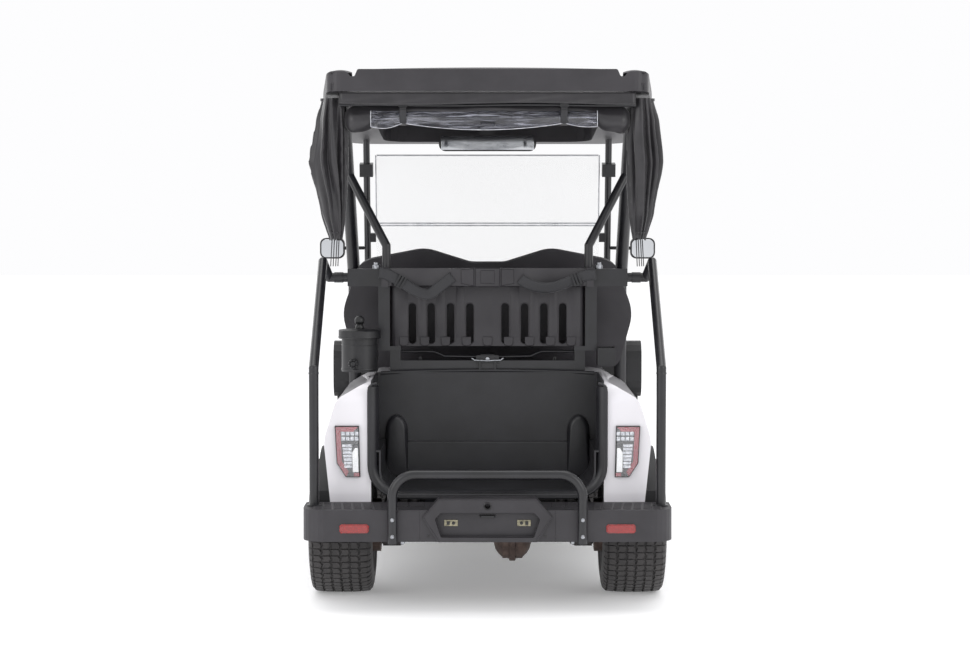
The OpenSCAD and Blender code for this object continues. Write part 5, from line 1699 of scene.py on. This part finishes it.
for name, x in zip(("left", "right"), TIES):
    grid = []
    path = flowing([(x, -0.905, 1.672), (x, -0.929, 1.660), (x, -0.9330, 1.640),
                    (x, -0.9290, 1.612), (x, -0.9190, 1.594), (x, -0.8990, 1.586)], 20)
    for p in path:
        grid.append([p + Vector((0.011 * (j / 2 - 1), 0, 0)) for j in range(5)])
    tie = cloth_grid("bag_cover_tie_" + name, grid, webbing, 0.0016)
    declare_sheet(tie)
    buckle = Shape()
    buckle.bar((x - 0.0145, -0.9365, 1.6440), (x + 0.0145, -0.9305, 1.6640), 0, edge=0.0)
    buckle.bar((x - 0.0110, -0.9385, 1.6360), (x + 0.0110, -0.9325, 1.6440), 0, edge=0.0)
    buckle.make("bag_cover_buckle_" + name, "chassis", gloss_black, slot="black_plastic",
                bevel=0.0015)

# Curtains: [height, x, y, half width, half depth], the same bundle that the frame keeps clear.
BUNDLE = [(1.6760, 0.513, -0.850, 0.0390, 0.058), (1.6000, 0.519, -0.850, 0.0490, 0.062),
          (1.4660, 0.528, -0.840, 0.0540, 0.060), (1.3000, 0.519, -0.804, 0.0400, 0.046),
          (1.2120, 0.513, -0.778, 0.0250, 0.030)]


def bundle_at(z):
    """The bundle's row at height z, eased between the rows above and below it."""
    for a, b in zip(BUNDLE, BUNDLE[1:]):
        if z >= b[0]:
            t = (a[0] - z) / (a[0] - b[0])
            t = min(max(t, 0), 1)
            t = t * 0.6 + 0.4 * t * t * (3 - 2 * t)
            return [p + (q - p) * t for p, q in zip(a, b)]
    return list(BUNDLE[-1])


PLEATS = 11
for side, name in ((-1, "left"), (1, "right")):
    draw = random.Random(41 if side < 0 else 77)
    offs = [draw.uniform(-0.35, 0.35) for _ in range(PLEATS)]
    depth_of = [draw.uniform(0.7, 1.25) for _ in range(PLEATS)]
    levels, around = 60, PLEATS * 12
    grid = []
    for i in range(levels):
        t = i / (levels - 1)
        z = 1.6760 + (1.2040 - 1.6760) * t
        _, x0, y0, rx, ry = bundle_at(z)
        out = 0.0
        if side < 0:
            out = 0.010 * math.exp(-((z - 1.46) / 0.09) ** 2)
        cinch = 1.0 if z > 1.235 else 0.86 + 0.14 * (z - 1.204) / 0.031
        line = []
        for k in range(around + 1):
            a = 2 * math.pi * k / around
            uneven = a / (2 * math.pi) * PLEATS
            uneven += 0.35 * math.sin(2 * a + side) + 0.22 * math.sin(5 * a)
            turn = (uneven + 0.55 * math.sin(2.2 * t + side)) % PLEATS
            fold_i = int(turn) % PLEATS
            phase = 2 * math.pi * (turn - int(turn))
            deep = (0.085 + 0.14 * math.sin(math.pi * min(t * 1.1, 1))) * depth_of[fold_i]
            swell = 1 + deep * (math.cos(phase + offs[fold_i] * math.sin(phase)) - 0.35)
            swell += 0.03 * math.sin(3 * a + 8 * t)
            r = swell * cinch
            cx_, cy_ = math.cos(a), math.sin(a)
            line.append(Vector((side * (x0 + out * max(cx_, 0) + rx * r * cx_),
                                y0 + ry * r * cy_, z - 0.004 * math.cos(phase) * t)))
        line[-1] = line[0].copy()
        grid.append(line)
    curtain = cloth_grid("weather_curtain_" + name, grid, cloth, 0.0)
    reworked(curtain.data, weld)
    curtain.data.shade_smooth()
    if side < 0:
        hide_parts("side_curtains")
    wide = sum((b - a).length for a, b in zip(grid[20], grid[20][1:]))
    declare_sheet(curtain)
    # inner folds that close the bundle's foot and top
    plugs = Shape()
    plugs.lathe([(0.0, 0.010), (0.006, 0.0185), (0.030, 0.0195), (0.034, 0.010)],
                (side * 0.5145, -0.777, 1.2040), (0, 0, 1), 20)
    plugs.lathe([(0.0, 0.020), (0.004, 0.0275), (0.012, 0.0275)],
                (side * 0.532, -0.850, 1.6640), (0, 0, 1), 24)
    plugs.make("curtain_gathers_" + name, "chassis", cloth, slot="curtain_vinyl", smooth=50)
    # a band round the gathered foot and four thin tie straps down to the rack's arm
    band = Shape()
    band.tube([(side * 0.5155 + 0.0215 * math.cos(a), -0.7785 + 0.0310 * math.sin(a), 1.2280)
               for a in (k * math.pi / 14 for k in range(28))], 0.0032, 8, closed=True)
    band.make("curtain_band_" + name, "chassis", cloth, slot="webbing", smooth=60)
    ties = Shape()
    for k, (dx, lean) in enumerate(((-0.012, 0.004), (-0.004, -0.002), (0.004, 0.003),
                                    (0.011, -0.004))):
        ties.slab(rect(-0.0016, 0, 0.0016, 0.118), 0.0010,
                  axes=((1, 0, 0), (lean, 0.60, 0.80), (0, -0.8, 0.6)),
                  at=(side * 0.515 + dx, -0.846 + 0.006 * k, 1.1150))
    ties.make("curtain_tie_straps_" + name, "chassis", cloth, slot="webbing")

# ---- Windshield and mirrors -----------------------------------------------------------
# Two clear acrylic panes, the upper folding on the lower by plastic hinges, with slightly milky
# sawn edges; a wide cabin mirror under the roof and two round-cornered ones on the struts.


# cast acrylic sheet: nearly clear from the front, with a very faint grey
acrylic = plain_finish("cast_acrylic_clear", 400, "#f2f4f5", "#fafbfb", Roughness=0.02, IOR=1.49,
                       Transmission_Weight=0.0, Alpha=0.10)
finish_node("windshield_lower", acrylic)
finish_node("windshield_upper", acrylic)
finish_node("cabin_mirror", gloss_black)
finish_node("side_mirrors", black_soft)


# back-silvered mirror glass: bright and nearly smooth
silvered = plain_finish("back_silvered_glass", 200, "#c9ccd0", "#d9dbde",
                        Metallic=1.0, Roughness=0.04)
low, high = (Vector(c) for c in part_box("cabin_mirror"))
panel = Shape()
z0, z1 = 1.5375, 1.5945
grid_n = 24
pts = []
for k in range(grid_n + 1):
    x = -0.186 + 0.372 * k / grid_n
    sag = 0.0030 * (1 - (x / 0.186) ** 2)
    for y, z in ((low.y - 0.0045 - sag, z0), (low.y - 0.0045 - sag, z1), (low.y + 0.0010, z1),
                 (low.y + 0.0010, z0)):
        pts.append((x, y, z))
panel.put(pts, skin(grid_n + 1, 4) + caps(grid_n + 1, 4))
panel.make("cabin_mirror_glass", "chassis", silvered, bevel=0.001, slot="clear_lens")
side_glass = Shape()
mirror_low = Vector(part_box("side_mirrors")[0])
outline = round_rectangle(0.044, 0.036, 0.020, 6)
side_glass.slab([(0.630 + x, 1.142 + z) for x, z in outline], 0.0020, 0, axes=FLAT,
                at=(0, mirror_low.y + 0.0002, 0), edge=0.0008)
side_glass.make("side_mirror_glass", "chassis", silvered, both=True, slot="clear_lens")


# sawn acrylic edge: frosted and bright, with a cool grey line
sawn = plain_finish("cast_acrylic_sawn_edge", 30, "#aeb0b6", "#cfd1d5", Roughness=0.4, IOR=1.49)
GLASS_TILT = math.radians(10)
FOLD = Vector((0, 0.7142, 1.238))


def on_glass(x, up, out=0.0):
    """A point on the windshield: up its lean from the fold line, and out behind it."""
    return Vector((x, FOLD.y - up * math.sin(GLASS_TILT) - out * math.cos(GLASS_TILT),
                   FOLD.z + up * math.cos(GLASS_TILT) - out * math.sin(GLASS_TILT)))


for node, body, rails in (("windshield_lower", "chassis", (-0.0045,)),
                          ("windshield_upper", "windshield_top", (0.0050, 0.2845))):
    edge = Shape()
    for up in rails:
        edge.tube([on_glass(x, up) for x in (-0.449, 0.449)], 0.0030, 8)
    if body == "windshield_top":
        for x in (-0.453, 0.453):
            edge.tube([on_glass(x, rails[0]), on_glass(x, rails[1])], 0.0026, 8)
    edge.make(node + "_edge", body, sawn, slot="clear_lens", smooth=60)

# ---- Front lamps, grille and wheel hub --------------------------------------------------
# Over each headlamp lie a black bezel, two bright lamp rings with pale faces and a daylight
# strip; the cowl carries a black grille with three bars, and the steering wheel a padded hub.

def facing(name):
    """Finds where the named mesh's front lies, for laying trim on it."""
    mesh = bpy.data.objects[name].data
    tree = BVHTree.FromPolygons([v.co for v in mesh.vertices],
                                [tuple(p.vertices) for p in mesh.polygons])

    def place(x, z, out=0.0):
        hit, normal, _, _ = tree.ray_cast(Vector((x, 1.6, z)), Vector((0, -1, 0)))
        if hit is None:
            hit, normal, _, _ = tree.find_nearest(Vector((x, 1.15, z)))
        return hit + normal * (out if normal.y > 0 else -out)
    return place


lamp_face = facing("headlights")
LAMP = [(-0.080, -0.036), (0.084, -0.014), (0.098, 0.058), (-0.053, 0.033)]
bezel = Shape()
edge = []
for (x0, z0), (x1, z1) in zip(LAMP, LAMP[1:] + LAMP[:1]):
    edge += [lamp_face(0.435 + x0 + (x1 - x0) * k / 10, 0.590 + z0 + (z1 - z0) * k / 10, 0.0006)
             for k in range(10)]
bezel.tube(edge, 0.0026, 8, closed=True)
for cx, cz, radius in ((0.408, 0.590, 0.022), (0.478, 0.606, 0.026)):
    ring = [lamp_face(cx + radius * math.cos(a), cz + radius * math.sin(a), 0.0004)
            for a in (2 * math.pi * k / 28 for k in range(28))]
    bezel.tube(ring, 0.0021, 8, finish=1, closed=True)
    inner = [lamp_face(cx + radius * 0.62 * math.cos(a), cz + radius * 0.62 * math.sin(a), 0.0004)
             for a in (2 * math.pi * k / 24 for k in range(24))]
    bezel.tube(inner, 0.0016, 8, finish=2, closed=True)
bezel.tube([lamp_face(0.372 + 0.134 * k / 12, 0.562 + 0.019 * k / 12, 0.0008) for k in range(13)],
           0.0022, 8, finish=2)
bezel.make("headlamp_trim", "chassis", gloss_black, chrome, opal, smooth=60, both=True)

cowl_face = facing("front_cowl_shell")
grille = Shape()
COLUMNS, ROWS = 24, 6
sheet = [cowl_face(-0.25 + 0.50 * i / COLUMNS, 0.405 + 0.080 * j / ROWS, 0.0014)
         for j in range(ROWS + 1) for i in range(COLUMNS + 1)]
wide = COLUMNS + 1
grille.put(sheet, skin(ROWS + 1, wide, ring=False))
for z in (0.425, 0.445, 0.465):
    grille.tube([cowl_face(-0.243 + 0.486 * i / COLUMNS, z, 0.0022) for i in range(wide)],
                0.0032, 8, finish=1)
rim_line = [cowl_face(x, z, 0.0010) for x, z in
            [(-0.25 + 0.50 * i / COLUMNS, 0.405) for i in range(wide)]
            + [(0.25, 0.405 + 0.080 * j / ROWS) for j in range(1, ROWS)]
            + [(0.25 - 0.50 * i / COLUMNS, 0.485) for i in range(wide)]
            + [(-0.25, 0.485 - 0.080 * j / ROWS) for j in range(1, ROWS)]]
grille.tube(rim_line, 0.0034, 8, finish=1, closed=True)
grille.make("cowl_grille", "chassis", black_soft, charcoal, smooth=50)

LEAN = math.radians(46)
WHEEL_AXES = ((1, 0, 0), (0, math.cos(LEAN), math.sin(LEAN)), (0, -math.sin(LEAN), math.cos(LEAN)))
HUB = Vector((-0.250, 0.380, 0.905))
across, along, off = (Vector(a) for a in WHEEL_AXES)
hub = Shape()
hub.slab(round_rectangle(0.034, 0.034, 0.016), 0.010, axes=WHEEL_AXES, at=HUB + off * 0.0002,
         edge=0.004)
for middle in (30, 150, 270):
    grip = [HUB + across * (0.162 * math.cos(a)) + along * (0.162 * math.sin(a))
            for a in (math.radians(middle - 24 + 48 * k / 20) for k in range(21))]
    hub.tube(grip, 0.0147, 16, finish=1)
hub.make("wheel_hub_pad", "helm", charcoal, gloss_black, smooth=50)
